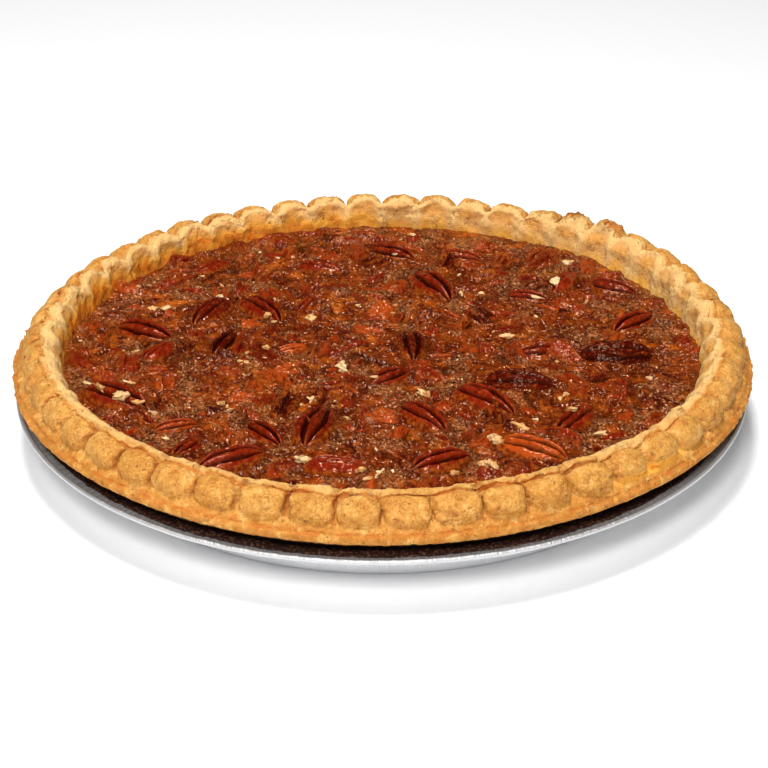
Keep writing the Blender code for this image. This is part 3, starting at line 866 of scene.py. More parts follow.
# The pecan halves that lie on top: place to the right of the pie's middle and behind it in mm,
# heading in degrees, length in mm, and roll about the long axis in degrees
PECAN_HALVES = [
    (-81, 15, -28, 24, 12), (-59, 30, 62, 23, -8), (-53, 5, 66, 19, 10), (-42, 31, -54, 24, 0),
    (-75, -1, 55, 17, -15), (18, 51, -60, 27, 5), (10, 2, -88, 22, 0), (-30, 1, 20, 12, 0),
    (4, 80, -30, 20, 10), (-22, 67, -22, 19, -6), (-62, 68, 40, 18, -12), (29, 77, -15, 18, 8),
    (54, -3, 4, 21, 10), (79, -4, -4, 26, -4), (87, 21, 42, 20, 12), (65, 54, 62, 20, -18),
    (52, 42, -20, 16, 8), (82, 50, -25, 20, 0), (-86, -34, -32, 27, 8), (-46, -75, 30, 24, 8),
    (-65, -53, 20, 15, 10), (-60, -67, 52, 14, 0), (-37, -58, -52, 19, 6), (-21, -54, 76, 25, 0),
    (3, -20, 36, 19, 12), (33, -38, -44, 26, 6), (45, -23, -12, 23, -10), (13, -49, -52, 23, 0),
    (18, -77, 28, 21, 12), (-14, -80, -8, 21, -10), (46, -70, -28, 25, 4), (61, -51, 50, 20, -6),
]


def filling_top(x, y):
    """The height of the custard's own surface."""
    edge = min(1.0, math.hypot(x, y) / FILLING_RADIUS)
    place = Vector((x, y, 0.0))
    lumps = noise.noise(place / LUMP_SIZE) + 0.55 * noise.noise(place / (2.3 * LUMP_SIZE))
    calm = 1.0 - edge ** 8
    return FILLING_HEIGHT + FILLING_DOME * (1 - edge ** 2) + LUMP_HEIGHT * lumps * calm


def to_nearest_half(x, y):
    """How far each point lies outside the nearest pecan half, in metres, below 0 under it."""
    nearest = np.full(len(x), 1.0)
    for half_x, half_y, heading, length, _ in PECAN_HALVES:
        turn = math.radians(heading)
        dx, dy = x - half_x * MM, y - half_y * MM
        along = (dx * math.cos(turn) + dy * math.sin(turn)) / (length * MM / 2)
        across = (dy * math.cos(turn) - dx * math.sin(turn)) / (length * MM * PECAN_WIDTH_SHARE / 2)
        outside = (np.hypot(along, across) - 1) * length * MM * PECAN_WIDTH_SHARE / 2
        nearest = np.minimum(nearest, outside)
    return nearest


def filling_mesh():
    """A grid drawn into a disc for the top, and plain rings down the side to the floor."""
    step = np.linspace(-1, 1, FILLING_GRID)
    u, v = [axis.ravel() for axis in np.meshgrid(step, step, indexing="ij")]
    radius = np.maximum(np.abs(u), np.abs(v))
    wide = np.where(np.abs(u) >= np.abs(v), np.pi / 4 * v / np.where(u == 0, 1, u),
                    np.pi / 2 - np.pi / 4 * u / np.where(v == 0, 1, v))
    flip = np.where(np.abs(u) >= np.abs(v), u < 0, v < 0)
    turn = wide + np.pi * flip
    reach = FILLING_EDGE * radius
    x, y = reach * np.cos(turn), reach * np.sin(turn)
    half = to_nearest_half(x, y)
    z = np.array([filling_top(a, b) for a, b in zip(x, y)])
    wall = np.exp(-np.maximum(0.0, FILLING_RADIUS - reach) / (1.5 * MM))
    z += 0.6 * MM * wall + 0.7 * MM * np.exp(-(half / (1.0 * MM)) ** 2)
    verts = np.column_stack((x, y, z))
    n = FILLING_GRID
    faces = []
    for i in range(n - 1):
        for j in range(n - 1):
            a = i * n + j
            faces.append((a, a + n, a + n + 1, a + 1))
    above = [i * n for i in range(n)] + [(n - 1) * n + j for j in range(1, n)]
    above += [i * n + n - 1 for i in range(n - 2, -1, -1)] + [j for j in range(n - 2, 0, -1)]
    turns = np.arctan2(y[above], x[above])
    sides = [(FILLING_RADIUS - 3 * MM, FILLING_HEIGHT - 3 * MM), (98.2 * MM, CRUST_FLOOR + MM),
             (96.4 * MM, CRUST_FLOOR + 0.4 * MM)]
    for radius, height in sides:
        ring = np.column_stack((radius * np.cos(turns), radius * np.sin(turns), 0 * turns + height))
        below = list(range(len(verts), len(verts) + len(turns)))
        verts = np.vstack((verts, ring))
        for i in range(len(turns)):
            j = (i + 1) % len(turns)
            faces.append((above[i], above[j], below[j], below[i]))
        above = below
    faces.append(tuple(above))
    hidden = np.zeros(len(verts) - n * n)
    free = np.clip((half - 0.5 * MM) / (1.5 * MM), 0, 1) * (reach < FILLING_RADIUS - 2.5 * MM)
    # Painted shade is laid round each pecan half where it meets the custard
    masks = {"free": np.concatenate((free, hidden)), "wall": np.concatenate((wall, hidden + 1)),
             "top": np.concatenate((0 * free + 1, hidden)),
             "moat": np.concatenate((np.exp(-(half / (1.3 * MM)) ** 2), hidden))}
    return verts, faces, masks


def kernel_mesh(length, draw, stations, over, beneath, turned=0.0):
    """A half kernel lying along X, its ridge turned to one side, and its depth in the grooves."""
    along = np.sin(np.linspace(-np.pi / 2, np.pi / 2, stations))
    even = np.linspace(-1, 1, over)
    top = 0.6 * np.sin(even * np.pi / 2 * 0.999) + 0.4 * even
    bottom = np.linspace(1, -1, beneath + 2)[1:-1]
    shift = draw.uniform(-0.06, 0.06) + turned
    bend = draw.uniform(-0.10, 0.10)
    phase = draw.uniform(0, 50)
    verts, depth = [], []
    for u in along:
        body = max(0.0, 1 - abs(u) ** 2.3)
        width = length * PECAN_WIDTH_SHARE / 2 * body ** 0.5 * (1 - KERNEL_TAPER * u)
        crest = length * PECAN_HEIGHT_SHARE * body ** 0.45
        pinch = GROOVE_AT * (1 - 0.4 * abs(u) ** 3) + 0.03 * math.sin(2.6 * u + phase)
        middle = shift + bend * u
        for v in top:
            dome = math.sqrt(max(0.0, 1 - v * v))
            aside = abs(v - middle)
            in_groove = math.exp(-((aside - pinch) / GROOVE_HALF_WIDTH) ** 2) * (1 - abs(u) ** 12)
            lobe = max(0.0, aside - 0.42)
            ribs = 0.16 * lobe * noise.noise(Vector((u * 8, v * 2.2, phase)))
            rumple = 0.10 * noise.noise(Vector((u * 4, v * 3, phase))) + 0.05 * noise.noise(
                Vector((u * 13, v * 9, phase)))
            ridge = 0.9 if aside < pinch else 1.0
            rise = crest * (dome * ridge * (1 - GROOVE_CUT * in_groove) + ribs + rumple * dome)
            edge = 1 + 0.10 * noise.noise(Vector((u * 4, 5.0 * (v > 0), phase)))
            verts.append((u * length / 2, v * width * edge, max(rise, 0.0)))
            depth.append(in_groove)
        for v in bottom:
            verts.append((u * length / 2, v * width, -0.5 * crest * math.sqrt(max(0.0, 1 - v * v))))
            depth.append(0.0)
    around = over + beneath
    faces = []
    for i in range(stations - 1):
        for j in range(around):
            k = (j + 1) % around
            faces.append((i * around + j, (i + 1) * around + j, (i + 1) * around + k, i * around + k))
    return verts, faces, depth


def broken_piece(draw, kind):
    """A kernel one unit long, chopped in one of six ways, with its broken faces marked as flesh."""
    slant, lean = draw.uniform(-0.5, 0.5), draw.uniform(-0.3, 0.3)
    at = draw.uniform(-0.05, 0.2)
    ways = (
        [((at, 0, 0), (1, slant, lean))],
        [((0, 0.02, 0), (slant * 0.3, 1, lean))],
        [((at, 0, 0), (1, slant, lean)), ((0, 0, 0), (0.1, -1, lean))],
        [((at + 0.05, 0, 0), (1, slant, lean)), ((at - 0.25, 0, 0), (-1, slant, 0.1))],
        [((0, 0.08, 0), (slant * 0.3, -1, lean)), ((0.3, 0, 0), (1, 0.3, lean))],
        [((at - 0.05, 0, 0), (1, 1.2, lean)), ((-0.3, 0, 0), (-1, 0.4, 0))],
    )
    verts, faces, depth = kernel_mesh(1.0, draw, stations=17, over=15, beneath=3)
    bm = bmesh.new()
    flesh = bm.faces.layers.float.new("flesh")
    groove = bm.verts.layers.float.new("groove")
    made = [bm.verts.new(vert) for vert in verts]
    for vert, deep in zip(made, depth):
        vert[groove] = deep
    for face in faces:
        bm.faces.new([made[i] for i in face])
    bmesh.ops.remove_doubles(bm, verts=bm.verts, dist=1e-5)
    for spot, outwards in ways[kind % len(ways)]:
        parts = bm.verts[:] + bm.edges[:] + bm.faces[:]
        cut = bmesh.ops.bisect_plane(bm, geom=parts, plane_co=spot, plane_no=outwards,
                                     clear_outer=True)
        rim = [part for part in cut["geom_cut"] if isinstance(part, bmesh.types.BMEdge)]
        for face in bmesh.ops.edgeloop_fill(bm, edges=rim)["faces"]:
            face[flesh] = 1.0
    bmesh.ops.recalc_face_normals(bm, faces=bm.faces)
    middle = sum((vert.co for vert in bm.verts), Vector()) / len(bm.verts)
    bmesh.ops.translate(bm, verts=bm.verts, vec=(-middle.x, -middle.y, -0.04))
    return bm


def rough_bit(draw, kind, level=2):
    """A small rough bit about one unit long."""
    bm = bmesh.new()
    bmesh.ops.create_icosphere(bm, subdivisions=level, radius=0.5)
    wide, thick = ((0.52, 0.36), (0.74, 0.5), (0.34, 0.26))[kind % 3]
    cuts = []
    for _ in range(3):
        normal = Vector((draw.uniform(-1, 1), draw.uniform(-1, 1), draw.uniform(-0.6, 0.3))).normalized()
        cuts.append((normal, draw.uniform(0.2, 0.36)))
    for vert in bm.verts:
        spot = vert.co.copy()
        for normal, reach in cuts:
            over = spot.dot(normal) - reach
            if over > 0:
                spot -= normal * over
        uneven = 1 + 0.5 * noise.noise(spot * 3.5 + Vector((kind * 7, 0, 0)))
        vert.co = Vector((spot.x, spot.y * wide, spot.z * thick)) * uneven
    return bm


def kinds_of(name, pieces):
    """A collection outside the scene with one object for each kind of piece."""
    kinds = bpy.data.collections.new(name)
    for number, bm in enumerate(pieces):
        mesh = bpy.data.meshes.new(f"{name}_{number}")
        bm.to_mesh(mesh)
        bm.free()
        mesh.shade_smooth()
        mesh.set_sharp_from_angle(angle=SHARP_ANGLE)
        kinds.objects.link(bpy.data.objects.new(mesh.name, mesh))
    return kinds


def scatter_tree():
    """Scatters pieces over the free surface at random slants and sizes, each with its own tone."""
    tree = Shaper("scattered_pieces", {"Kinds": bpy.types.Collection, "Last Kind": int,
                                       "Spacing": float, "Density": float, "Smallest": float,
                                       "Largest": float, "Tilt": float, "Sink": float,
                                       "In Froth": float, "Seed": int})
    seed = tree.given("Seed")
    frothy = 1.0 - tree.given("In Froth") * (1.0 - tree.named("froth"))
    points = tree.node("GeometryNodeDistributePointsOnFaces", {
        "Mesh": tree.given(), "Distance Min": tree.given("Spacing"),
        "Density Max": tree.given("Density"), "Density Factor": tree.named("free") * frothy,
        "Seed": seed}, "Points", distribute_method="POISSON")
    kinds = tree.node("GeometryNodeCollectionInfo", {
        "Collection": tree.given("Kinds"), "Separate Children": True, "Reset Children": True})

    def chance(low, high, offset, kind="FLOAT"):
        return tree.node("FunctionNodeRandomValue", {"Min": low, "Max": high, "Seed": seed + offset},
                         "Value", data_type=kind)

    tilt = tree.given("Tilt")
    slant = tree.joined(chance(-1.0, 1.0, 1.0) * tilt, chance(-1.0, 1.0, 2.0) * tilt,
                        chance(0.0, 2 * math.pi, 3.0))
    size = tree.given("Smallest") + (tree.given("Largest") - tree.given("Smallest")) * (
        chance(0.0, 1.0, 4.0) ** 1.6)
    scale = tree.joined(size, size * chance(0.85, 1.2, 5.0), size * chance(0.8, 1.2, 6.0))
    pieces = tree.node("GeometryNodeInstanceOnPoints", {
        "Points": points, "Instance": kinds, "Pick Instance": True,
        "Instance Index": chance(0, tree.given("Last Kind"), 7.0, "INT"), "Rotation": slant,
        "Scale": scale})
    sunk = tree.joined(0.0, 0.0, 0.0 - size * tree.given("Sink"))
    pieces = tree.node("GeometryNodeTranslateInstances", {
        "Instances": pieces, "Translation": sunk, "Local Space": False})
    pieces = tree.node("GeometryNodeStoreNamedAttribute", {
        "Geometry": pieces, "Name": "tone", "Value": chance(0.0, 1.0, 8.0)},
        data_type="FLOAT", domain="INSTANCE")
    tree.end(pieces)
    return tree


def nut_colour(nut, tone, grooved):
    """Toasted pecan skin from near black through red-brown to orange-brown, by tone."""
    streak = nut.noise(nut.place, 2.2 * MM, 3.0, 0.6)
    fleck = nut.noise(nut.place, 0.8 * MM, 2.0, 0.6)
    groove = nut.attribute("groove") * grooved
    colour = nut.mix(tone.between(0.0, 0.45), tint(56, 6, 2), tint(126, 28, 7))
    colour = layered(
        nut, colour,
        (tone.between(0.45, 1.0), (182, 74, 18)),
        (streak.between(0.5, 0.7) * 0.65, (152, 56, 14)),
        (streak.between(0.48, 0.32) * 0.6, (62, 9, 2)),
        (fleck.between(0.58, 0.75) * 0.4, (196, 108, 46)),
        ((groove * (0.75 + streak * 0.6)).between(0.1, 0.9), (40, 5, 2)))
    return colour, streak


# Light reflected off the syrup passes through a thin amber skin, so its sparks are warm
SYRUP_GLINT = (1.0, 0.62, 0.4, 1)


def syrup_film(nut, colour, thick):
    """Lays the custard's amber film over a nut's colour, in patches that grow where it is thick."""
    pool = nut.noise(nut.place, 5 * MM, 3.0, 0.55)
    amber = nut.mix(nut.noise(nut.place, 1.4 * MM, 2.0).between(0.35, 0.65), tint(92, 28, 5),
                    tint(158, 76, 20))
    covered = (pool + thick * 0.5).between(0.5, 0.72) * 0.85
    return nut.mix(covered * (1.0 - nut.attribute("groove").between(0.05, 0.4)), colour, amber)


def wet_relief(thing, depth):
    """Fine ripples in a glossy surface, which catch the light in small sparks."""
    swell = thing.noise(thing.place, 4 * MM, 2.0, 0.6)
    ripple = thing.noise(thing.place, 1.5 * MM, 1.0, 0.5)
    return thing.bump(ripple, depth, thing.bump(swell, depth))


def chopped_finish():
    nut = Finish("chopped_pecan")
    tone = nut.attribute("tone") * 0.85
    colour, streak = nut_colour(nut, tone, 0.45)
    broken = nut.mix(streak.between(0.35, 0.65), tint(190, 106, 40), tint(222, 164, 96))
    colour = nut.mix(nut.attribute("flesh") * (0.1 + tone.between(0.7, 0.9) * 0.6), colour, broken)
    colour = syrup_film(nut, colour, 0.25)
    return nut.shade(Base_Color=colour, Roughness=0.07 + streak * 0.1,
                     Normal=wet_relief(nut, 0.9 * MM), Specular_IOR_Level=0.42,
                     Specular_Tint=SYRUP_GLINT)


def chopped_places(draw):
    """The places of the largest chopped pieces, clear of the halves and of each other."""
    places = []
    while len(places) < CHOPPED_PIECES:
        bearing = draw.uniform(0, 2 * math.pi)
        reach = CHOPPED_REACH * math.sqrt(draw.random())
        place = Vector((math.cos(bearing), math.sin(bearing))) * reach
        clear = all((place - Vector((x, y)) * MM).length > length * MM / 2 + CHOPPED_CLEARANCE
                    for x, y, _, length, _ in PECAN_HALVES)
        if clear and all((place - other).length > CHOPPED_SPACING for other in places):
            places.append(place)
    return places


def large_chopped_mesh():
    """The largest chopped pieces, at the places and about the sizes of those in the solid."""
    draw = random.Random(CHOPPED_SEED)
    shapes = random.Random(CHOPPED_SHAPE_SEED)
    verts, faces, tone, flesh, groove = [], [], [], [], []
    for number, place in enumerate(chopped_places(draw)):
        size = [draw.uniform(3.0, 4.2), draw.uniform(2.2, 3.0), draw.uniform(1.8, 2.4)]
        # Only the first bump is used, for the tone. The others keep the order of the draws.
        bumps = [draw.uniform(-0.18, 0.18) for _ in range(CHOPPED_BUMPS)]
        turn = Euler((draw.uniform(-0.4, 0.4), draw.uniform(-0.4, 0.4),
                      draw.uniform(0, math.pi))).to_matrix()
        bm = broken_piece(shapes, (0, 3, 2, 5)[number % 4])
        spans = [max(vert.co[i] for vert in bm.verts) - min(vert.co[i] for vert in bm.verts)
                 for i in range(3)]
        scale = Vector([2 * size[i] * MM / spans[i] for i in range(3)])
        centre = Vector((place.x, place.y, filling_top(place.x, place.y) - 0.6 * MM))
        base = len(verts)
        layer = bm.verts.layers.float["groove"]
        for vert in bm.verts:
            verts.append(centre + turn @ (vert.co * scale))
            groove.append(vert[layer])
        layer = bm.faces.layers.float["flesh"]
        for face in bm.faces:
            faces.append(tuple(base + vert.index for vert in face.verts))
            flesh.append(face[layer])
        tone += [0.5 + 2.4 * bumps[0]] * len(bm.verts)
        bm.free()
    return verts, faces, tone, flesh, groove


bed_verts, bed_faces, bed_masks = filling_mesh()
bed = bpy.data.meshes.new("custard_bed")
bed.from_pydata(bed_verts, [], bed_faces)
store(bed, bed_masks)

scatter = scatter_tree()
nut_finish = chopped_finish()
nut_draw = random.Random(NUT_SEED)
broken_kinds = kinds_of("broken_pecan", [broken_piece(nut_draw, i) for i in range(BROKEN_KINDS)])
bit_kinds = kinds_of("pecan_bit", [rough_bit(nut_draw, i) for i in range(BIT_KINDS)])


def strew(name, surface, finish, kinds, **values):
    """A piece made of the things in a collection, strewn over a surface."""
    strewn = bpy.data.objects.new(name, surface.copy())
    bpy.context.scene.collection.objects.link(strewn)
    scatter.shape(strewn, finish, Kinds=kinds, Last_Kind=len(kinds.objects) - 1, **values)
    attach(strewn, "root")
    return strewn


chopped = strew("chopped_nuts", bed, nut_finish, broken_kinds, Spacing=7.4 * MM, Density=60000.0,
                Smallest=16 * MM, Largest=25 * MM, Tilt=0.4, Sink=0.09, In_Froth=0.0, Seed=4)
strew("nut_bits", bed, nut_finish, bit_kinds, Spacing=5.5 * MM, Density=60000.0,
      Smallest=1.8 * MM, Largest=7 * MM, Tilt=0.7, Sink=0.1, In_Froth=0.0, Seed=12)

verts, faces, tone, flesh, groove = large_chopped_mesh()
large_chopped = add_piece("large_chopped_nuts", verts, faces, ["pecan_filling"])
store(large_chopped.data, {"tone": tone, "groove": groove})
large_chopped.data.attributes.new("flesh", "FLOAT", "FACE").data.foreach_set("value", flesh)
large_chopped.data.shade_smooth()
large_chopped.data.set_sharp_from_angle(angle=SHARP_ANGLE)
large_chopped.data.materials.append(nut_finish)
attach(large_chopped, "root")


# The filling
# Eggs, sugar and syrup set to a soft custard, solid from the crust's floor to its bumpy top. It
# clings to the nuts, and caramelised in the oven to clear amber and to a brown froth of bubbles.

def custard_tree():
    """Raises the custard's top into lumps, strands and bubbles, and up against the nuts."""
    tree = Shaper("custard_relief", {"Nuts": bpy.types.Object, "Large Nuts": bpy.types.Object,
                                     "Lump Depth": float, "Strand Depth": float,
                                     "Bubble Depth": float, "Cling Height": float,
                                     "Cling Reach": float})
    place = tree.position()
    nuts = tree.node("GeometryNodeObjectInfo", {"Object": tree.given("Nuts")}, "Geometry")
    large = tree.node("GeometryNodeObjectInfo", {"Object": tree.given("Large Nuts")}, "Geometry")
    both = tree.node("GeometryNodeJoinGeometry", {"Geometry": nuts})
    tree.tree.links.new(large.socket, both.socket.node.inputs["Geometry"])
    away = tree.node("GeometryNodeProximity", {"Geometry": both}, "Distance")
    close = 1.0 - away.between(0.0, tree.given("Cling Reach"))
    shown = tree.named("free")
    lumps = tree.noise(place, 5.5 * MM, 2.0, 0.45) - 0.5
    strands = (tree.noise(tree.warped(place, 9 * MM), 3.6 * MM, 2.0) - 0.5).maths("ABSOLUTE")
    froth = tree.noise(place, 14 * MM, 2.0).between(0.49, 0.59)
    bubbles = 1.0 - tree.cells(place, 1.9 * MM).between(0.0, 0.75)
    height = (lumps * tree.given("Lump Depth") - strands * tree.given("Strand Depth")
              + bubbles * froth * tree.given("Bubble Depth"))
    offset = tree.joined(0.0, 0.0, (height * (0.4 + shown * 0.6) + close * tree.given("Cling Height"))
                         * tree.named("top"))
    # Where the top lies low in the strands and between lumps, which the finish darkens as painted shade
    deep = (strands * 1.3 - lumps).between(0.02, 0.3)
    kept = tree.given()
    for name, mask in (("close", close), ("froth", froth), ("deep", deep)):
        kept = tree.node("GeometryNodeStoreNamedAttribute", {
            "Geometry": kept, "Name": name, "Value": mask}, data_type="FLOAT")
    tree.end(tree.node("GeometryNodeSetPosition", {"Geometry": kept, "Offset": offset}))
    return tree


def custard_finish():
    custard = Finish("caramelised_custard")
    place = custard.place
    broad = custard.noise(place, 24 * MM, 2.0)
    patch = custard.noise(place, 6 * MM, 3.0, 0.6)
    fleck = custard.noise(place, 1.5 * MM, 3.0, 0.65)
    froth = custard.attribute("froth")
    colour = custard.mix(patch.between(0.36, 0.62), tint(88, 24, 3), tint(150, 62, 9))
    colour = layered(
        custard, colour,
        ((patch * broad).between(0.27, 0.4), (178, 84, 14)),
        (fleck.between(0.52, 0.72) * 0.4, (172, 94, 34)),
        (fleck.between(0.46, 0.3) * 0.5, (46, 9, 1)))
    foam = custard.mix(fleck.between(0.35, 0.62), tint(74, 26, 7), tint(178, 110, 58))
    colour = layered(
        custard, custard.mix(froth * 0.6, colour, foam),
        # Painted shade in the low strands and hollows, round the pecan halves and where the custard meets
        # the chopped nuts
        (custard.attribute("deep") * 0.6, (50, 10, 1)),
        (custard.attribute("moat") * 0.5, (70, 18, 5)),
        (custard.attribute("close").between(0.3, 1.0) * 0.35, (92, 26, 6)),
        (custard.attribute("wall") * 0.5, (120, 50, 12)))
    relief = custard.bump(custard.cells(place, 1.4 * MM) * froth, 0.6 * MM, wet_relief(custard, 1.5 * MM))
    return custard.shade(Base_Color=colour, Roughness=0.08 + froth * 0.05, Normal=relief,
                         Specular_IOR_Level=0.65, Specular_Tint=SYRUP_GLINT)


filling = add_piece("filling", bed_verts, bed_faces, ["pecan_filling"])
store(filling.data, bed_masks)
custard_tree().shape(filling, custard_finish(), Nuts=chopped, Large_Nuts=large_chopped,
                     Lump_Depth=3.2 * MM, Strand_Depth=1.6 * MM, Bubble_Depth=0.6 * MM,
                     Cling_Height=1.0 * MM, Cling_Reach=1.9 * MM)
close_mesh(filling)
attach(filling, "root")


# The froth
# Small bubbles of boiled syrup that set hard in clusters on the custard. Each is a glossy brown
# bead about a millimetre across.

def froth_finish():
    bead = Finish("set_bubbles")
    colour = bead.mix(bead.attribute("tone"), tint(78, 30, 10), tint(180, 120, 70))
    return bead.shade(Base_Color=colour, Roughness=0.12, Specular_IOR_Level=0.5,
                      Specular_Tint=SYRUP_GLINT)


bead_bm = bmesh.new()
bmesh.ops.create_icosphere(bead_bm, subdivisions=1, radius=0.5)
strew("froth", filling.data, froth_finish(), kinds_of("bubble", [bead_bm]), Spacing=1.1 * MM,
      Density=500000.0, Smallest=0.5 * MM, Largest=1.5 * MM, Tilt=3.0, Sink=0.2, In_Froth=1.0, Seed=2)


# The pecan halves
# Whole shelled halves laid on top before baking. Each has a ridge between two deep grooves and a
# ribbed lobe on either side, and its skin has toasted dark red-brown under a film of syrup.

PECAN_SUNK_SHARE = 0.24
FIRST_HALF_SEED = 100

# Tones of the halves in the same order, from 0, almost black, to 1, orange-brown
PECAN_TONES = [
    0.35, 0.2, 0.1, 0.3, 0.4, 0.3, 0.15, 0.95, 0.3, 0.3, 0.3, 0.6, 0.35, 0.08, 0.45, 0.5,
    0.5, 0.3, 0.3, 0.4, 0.7, 0.3, 0.3, 0.25, 0.35, 0.4, 0.13, 0.35, 0.45, 0.45, 0.9, 0.3,
]

# Halves, by number, whose ridge lies towards the front side, as a share of the half width
TURNED_RIDGES = {9: -0.15, 12: -0.15, 14: -0.36, 17: -0.15, 18: -0.2, 27: -0.36}

# Halves, by number, that baked bare and dark, with little syrup on them
DRY_HALVES = (14, 27)


def pecan_finish(name, glaze, bare):
    """Toasted skin under a film of syrup: how strongly it shines, and how bare of syrup it is."""
    pecan = Finish(name)
    colour, streak = nut_colour(pecan, pecan.attribute("tone"), 1.0)
    colour = syrup_film(pecan, colour, pecan.attribute("low") * 1.2 - bare)
    return pecan.shade(Base_Color=colour, Roughness=0.08 + streak * 0.12,
                       Normal=wet_relief(pecan, 0.25 * MM), Specular_IOR_Level=glaze,
                       Specular_Tint=SYRUP_GLINT)


glazed = pecan_finish("glazed_pecan", glaze=0.34, bare=0.2)
baked_dark = pecan_finish("dark_baked_pecan", glaze=0.1, bare=1.2)
halves = []
for number, (x, y, heading, length, roll) in enumerate(PECAN_HALVES):
    length = length * MM
    verts, faces, depth = kernel_mesh(length, random.Random(FIRST_HALF_SEED + number), stations=58,
                                      over=44, beneath=8, turned=TURNED_RIDGES.get(number + 1, 0.0))
    crest = length * PECAN_HEIGHT_SHARE
    sunk = crest * PECAN_SUNK_SHARE
    base = filling_top(x * MM, y * MM) - sunk
    move = Matrix.Translation((x * MM, y * MM, base)) @ Matrix.Rotation(math.radians(heading), 4, "Z")
    move = move @ Matrix.Rotation(math.radians(roll), 4, "X")
    placed = [move @ Vector(vert) for vert in verts]
    half = add_piece(f"pecan_{number + 1:02d}", placed, faces, [f"pecan_half_{number + 1:02d}"])
    low = [1 - min(1.0, max(0.0, (vert.z - base - sunk) / (0.5 * crest))) for vert in placed]
    store(half.data, {"tone": [PECAN_TONES[number]] * len(verts), "groove": depth, "low": low})
    close_mesh(half)
    half.data.materials.append(baked_dark if number + 1 in DRY_HALVES else glazed)
    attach(half, "root")
    halves.append(half)


# The pale crumbs
# Bits of bare nut flesh that broke off without skin, cream to tan. The largest lie where the
# photograph shows them, and finer ones are strewn between.

PHOTO_SIZE = 768
CAMERA_TILT = math.radians(28.24)
CAMERA_ROLL = math.radians(-0.19)
CAMERA_DISTANCE = 735 * MM
EYE = Vector((0, -math.cos(CAMERA_TILT), math.sin(CAMERA_TILT))) * CAMERA_DISTANCE
FOCAL_PIXELS = 2149
ORIGIN_PIXEL = (381.9, 416.3)
CRUMB_SEED = 8

# Crumbs read from the photograph: pixel across and down, length in mm, heading in degrees
PALE_CRUMBS = [
    (154, 307, 4.5, 10), (167, 308, 4.5, -20), (202, 275, 3.2, 0), (221, 295, 3.6, -30),
    (139, 285, 2.0, 0), (150, 284, 2.6, 0), (137, 350, 3.4, 20), (268, 314, 3.0, 60),
    (274, 321, 3.2, 0), (279, 257, 1.8, 0), (294, 257, 1.8, 30), (247, 352, 3.2, 50),
    (246, 361, 4.2, 0), (267, 347, 2.6, -20), (266, 357, 1.8, 0), (81, 339, 1.8, 0),
    (413, 235, 2.6, 0), (396, 254, 2.4, -10), (462, 294, 3.4, 100), (483, 294, 2.4, 0),
    (461, 275, 2.4, 10), (359, 306, 3.6, 60), (312, 318, 4.2, 100), (393, 313, 2.2, 0),
    (570, 264, 5.0, 0), (557, 282, 5.5, 70), (538, 299, 5.0, -8), (588, 302, 3.0, 60),
    (507, 337, 4.2, 0), (129, 381, 4.6, -30), (221, 402, 3.6, -20), (230, 409, 2.2, 0),
    (155, 412, 5.0, 10), (166, 437, 2.6, 0), (342, 366, 4.8, -40), (374, 377, 3.6, 30),
    (424, 393, 5.5, -30), (312, 400, 4.4, -60), (301, 404, 3.4, 30), (337, 402, 3.2, 0),
    (347, 418, 2.4, 0), (370, 478, 5.0, 35), (381, 472, 4.0, 50), (360, 470, 3.6, 0),
    (482, 464, 6.0, 12), (454, 474, 4.0, 20), (495, 440, 5.0, 0), (522, 428, 7.5, -40),
    (567, 395, 3.6, 60), (573, 411, 3.4, 0), (502, 443, 3.0, 0), (601, 435, 5.0, 15),
    (490, 464, 5.0, -10), (535, 421, 4.6, -20), (650, 380, 2.6, -60), (304, 461, 6.0, -6),
    (86, 381, 4.4, -28), (100, 386, 5.6, -28), (121, 395, 5.8, -26), (138, 401, 5.4, -22),
]


def looked_at(pieces):
    """What the camera sees first: search trees of these pieces' surfaces."""
    return [BVHTree.FromPolygons([vert.co for vert in piece.data.vertices],
                                 [face.vertices for face in piece.data.polygons])
            for piece in pieces]


def under_pixel(across, down, surfaces):
    """The place that one pixel of the photograph shows on the nearest of some surfaces."""
    u, v = across - ORIGIN_PIXEL[0], ORIGIN_PIXEL[1] - down
    right = math.cos(CAMERA_ROLL) * u + math.sin(CAMERA_ROLL) * v
    up = math.cos(CAMERA_ROLL) * v - math.sin(CAMERA_ROLL) * u
    upward = Vector((0, math.sin(CAMERA_TILT), math.cos(CAMERA_TILT)))
    ray = -EYE.normalized() + Vector((1, 0, 0)) * right / FOCAL_PIXELS + upward * up / FOCAL_PIXELS
    hits = [surface.ray_cast(EYE, ray.normalized()) for surface in surfaces]
    return min((hit for hit in hits if hit[0]), key=lambda hit: hit[3])[0]


def crumb_finish():
    crumb = Finish("bare_nut_flesh")
    grain = crumb.noise(crumb.place, 1.2 * MM, 3.0, 0.6)
    patch = crumb.noise(crumb.place, 9 * MM, 1.0)
    colour = crumb.mix(patch.between(0.35, 0.65), tint(222, 168, 100), tint(242, 208, 152))
    stained = crumb.noise(crumb.place, 2.6 * MM, 2.0).between(0.52, 0.62)
    colour = layered(crumb, colour, (grain.between(0.5, 0.75) * 0.7, (186, 108, 44)),
                     (stained * 0.6, (150, 78, 26)))
    return crumb.shade(Base_Color=colour, Roughness=0.42, Normal=crumb.bump(grain, 0.5 * MM),
                       Specular_IOR_Level=0.3)


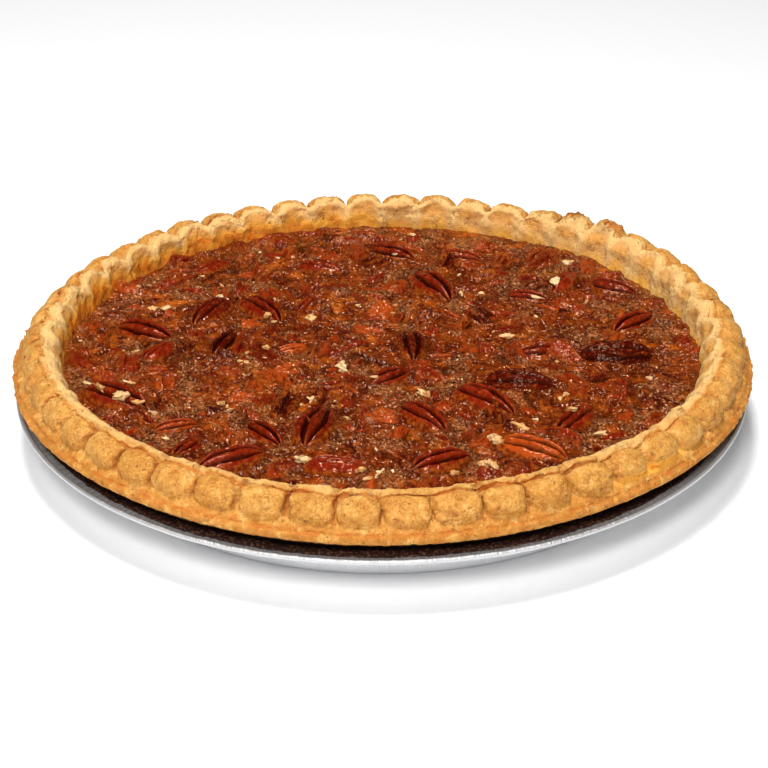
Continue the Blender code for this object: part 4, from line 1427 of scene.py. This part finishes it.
pale_finish = crumb_finish()
crumb_draw = random.Random(CRUMB_SEED)
shown_surfaces = looked_at([filling, chopped, large_chopped] + halves)
crumb_verts, crumb_faces = [], []
for number, (across, down, length, heading) in enumerate(PALE_CRUMBS):
    bm = rough_bit(crumb_draw, number % 3, 3)
    spot = under_pixel(across, down, shown_surfaces)
    turn = Euler((crumb_draw.uniform(-0.4, 0.4), crumb_draw.uniform(-0.3, 0.3),
                  math.radians(heading + crumb_draw.uniform(-8, 8)))).to_matrix()
    base = len(crumb_verts)
    for vert in bm.verts:
        rough = 1 + 0.55 * noise.noise(vert.co * 6 + Vector((number, 0, 0)))
        crumb_verts.append(spot + turn @ (vert.co * length * MM * rough))
    crumb_faces += [tuple(base + vert.index for vert in face.verts) for face in bm.faces]
    bm.free()
crumbs = add_piece("pale_crumbs", crumb_verts, crumb_faces)
crumbs.data.shade_smooth()
crumbs.data.materials.append(pale_finish)
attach(crumbs, "root")

strew("fine_crumbs", filling.data, pale_finish, bit_kinds, Spacing=9 * MM, Density=12000.0,
      Smallest=0.6 * MM, Largest=2.4 * MM, Tilt=0.8, Sink=0.0, In_Froth=0.0, Seed=31)


# The table, the light and the camera
# A plain pale surface under soft studio light from the front left and from above, seen as the
# photograph sees it.

TABLE_REACH = 3
SENSOR_WIDTH = 36

corners = [(-1, -1), (1, -1), (1, 1), (-1, 1)]
table = bpy.data.meshes.new("table")
table.from_pydata([(x * TABLE_REACH, y * TABLE_REACH, 0) for x, y in corners], [], [(0, 1, 2, 3)])
floor = bpy.data.objects.new("table", table)
bpy.context.scene.collection.objects.link(floor)
plain = Finish("plain_white")
table.materials.append(plain.shade(Base_Color=(0.97, 0.97, 0.97, 1), Roughness=0.9))
floor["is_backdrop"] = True

# White all round in front of the pie, and dim behind it, so that the wet filling stays dark
world = bpy.data.worlds.new("studio")
world.use_nodes = True
sky = Graph(world.node_tree)
_, behind, _ = sky.split(sky.node("ShaderNodeTexCoord", output=0))
glow = 0.02 + (0.0 - behind).between(-0.2, 0.9) * 0.4
backdrop = sky.node("ShaderNodeBackground", {"Color": (1.0, 1.0, 1.0, 1.0), "Strength": glow})
sky.node("ShaderNodeOutputWorld", {"Surface": backdrop})
bpy.context.scene.world = world


def add_light(name, place, size, power):
    """A square softbox that points at the middle of the pie."""
    lamp = bpy.data.lights.new(name, "AREA")
    lamp.shape = "SQUARE"
    lamp.size = size
    lamp.energy = power
    lamp_object = bpy.data.objects.new(name, lamp)
    lamp_object.location = place
    lamp_object.rotation_euler = (-Vector(place)).to_track_quat("-Z", "Y").to_euler()
    bpy.context.scene.collection.objects.link(lamp_object)


add_light("front_softbox", (-0.12, -1.0, 0.95), size=0.3, power=11.5)
add_light("overhead_softbox", (-0.1, 0.0, 1.35), size=0.3, power=15)

lens = bpy.data.cameras.new("camera")
lens.sensor_width = SENSOR_WIDTH
lens.lens = FOCAL_PIXELS / PHOTO_SIZE * lens.sensor_width
lens.shift_x = (PHOTO_SIZE / 2 - ORIGIN_PIXEL[0]) / PHOTO_SIZE
lens.shift_y = (ORIGIN_PIXEL[1] - PHOTO_SIZE / 2) / PHOTO_SIZE
lens.clip_start = 0.05
camera = bpy.data.objects.new("camera", lens)
camera.location = EYE
facing = (-EYE).to_track_quat("-Z", "Y").to_matrix() @ Matrix.Rotation(CAMERA_ROLL, 3, "Z")
camera.rotation_euler = facing.to_euler()
bpy.context.scene.collection.objects.link(camera)
bpy.context.scene.camera = camera
bpy.context.scene.view_settings.view_transform = "Standard"

low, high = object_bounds()
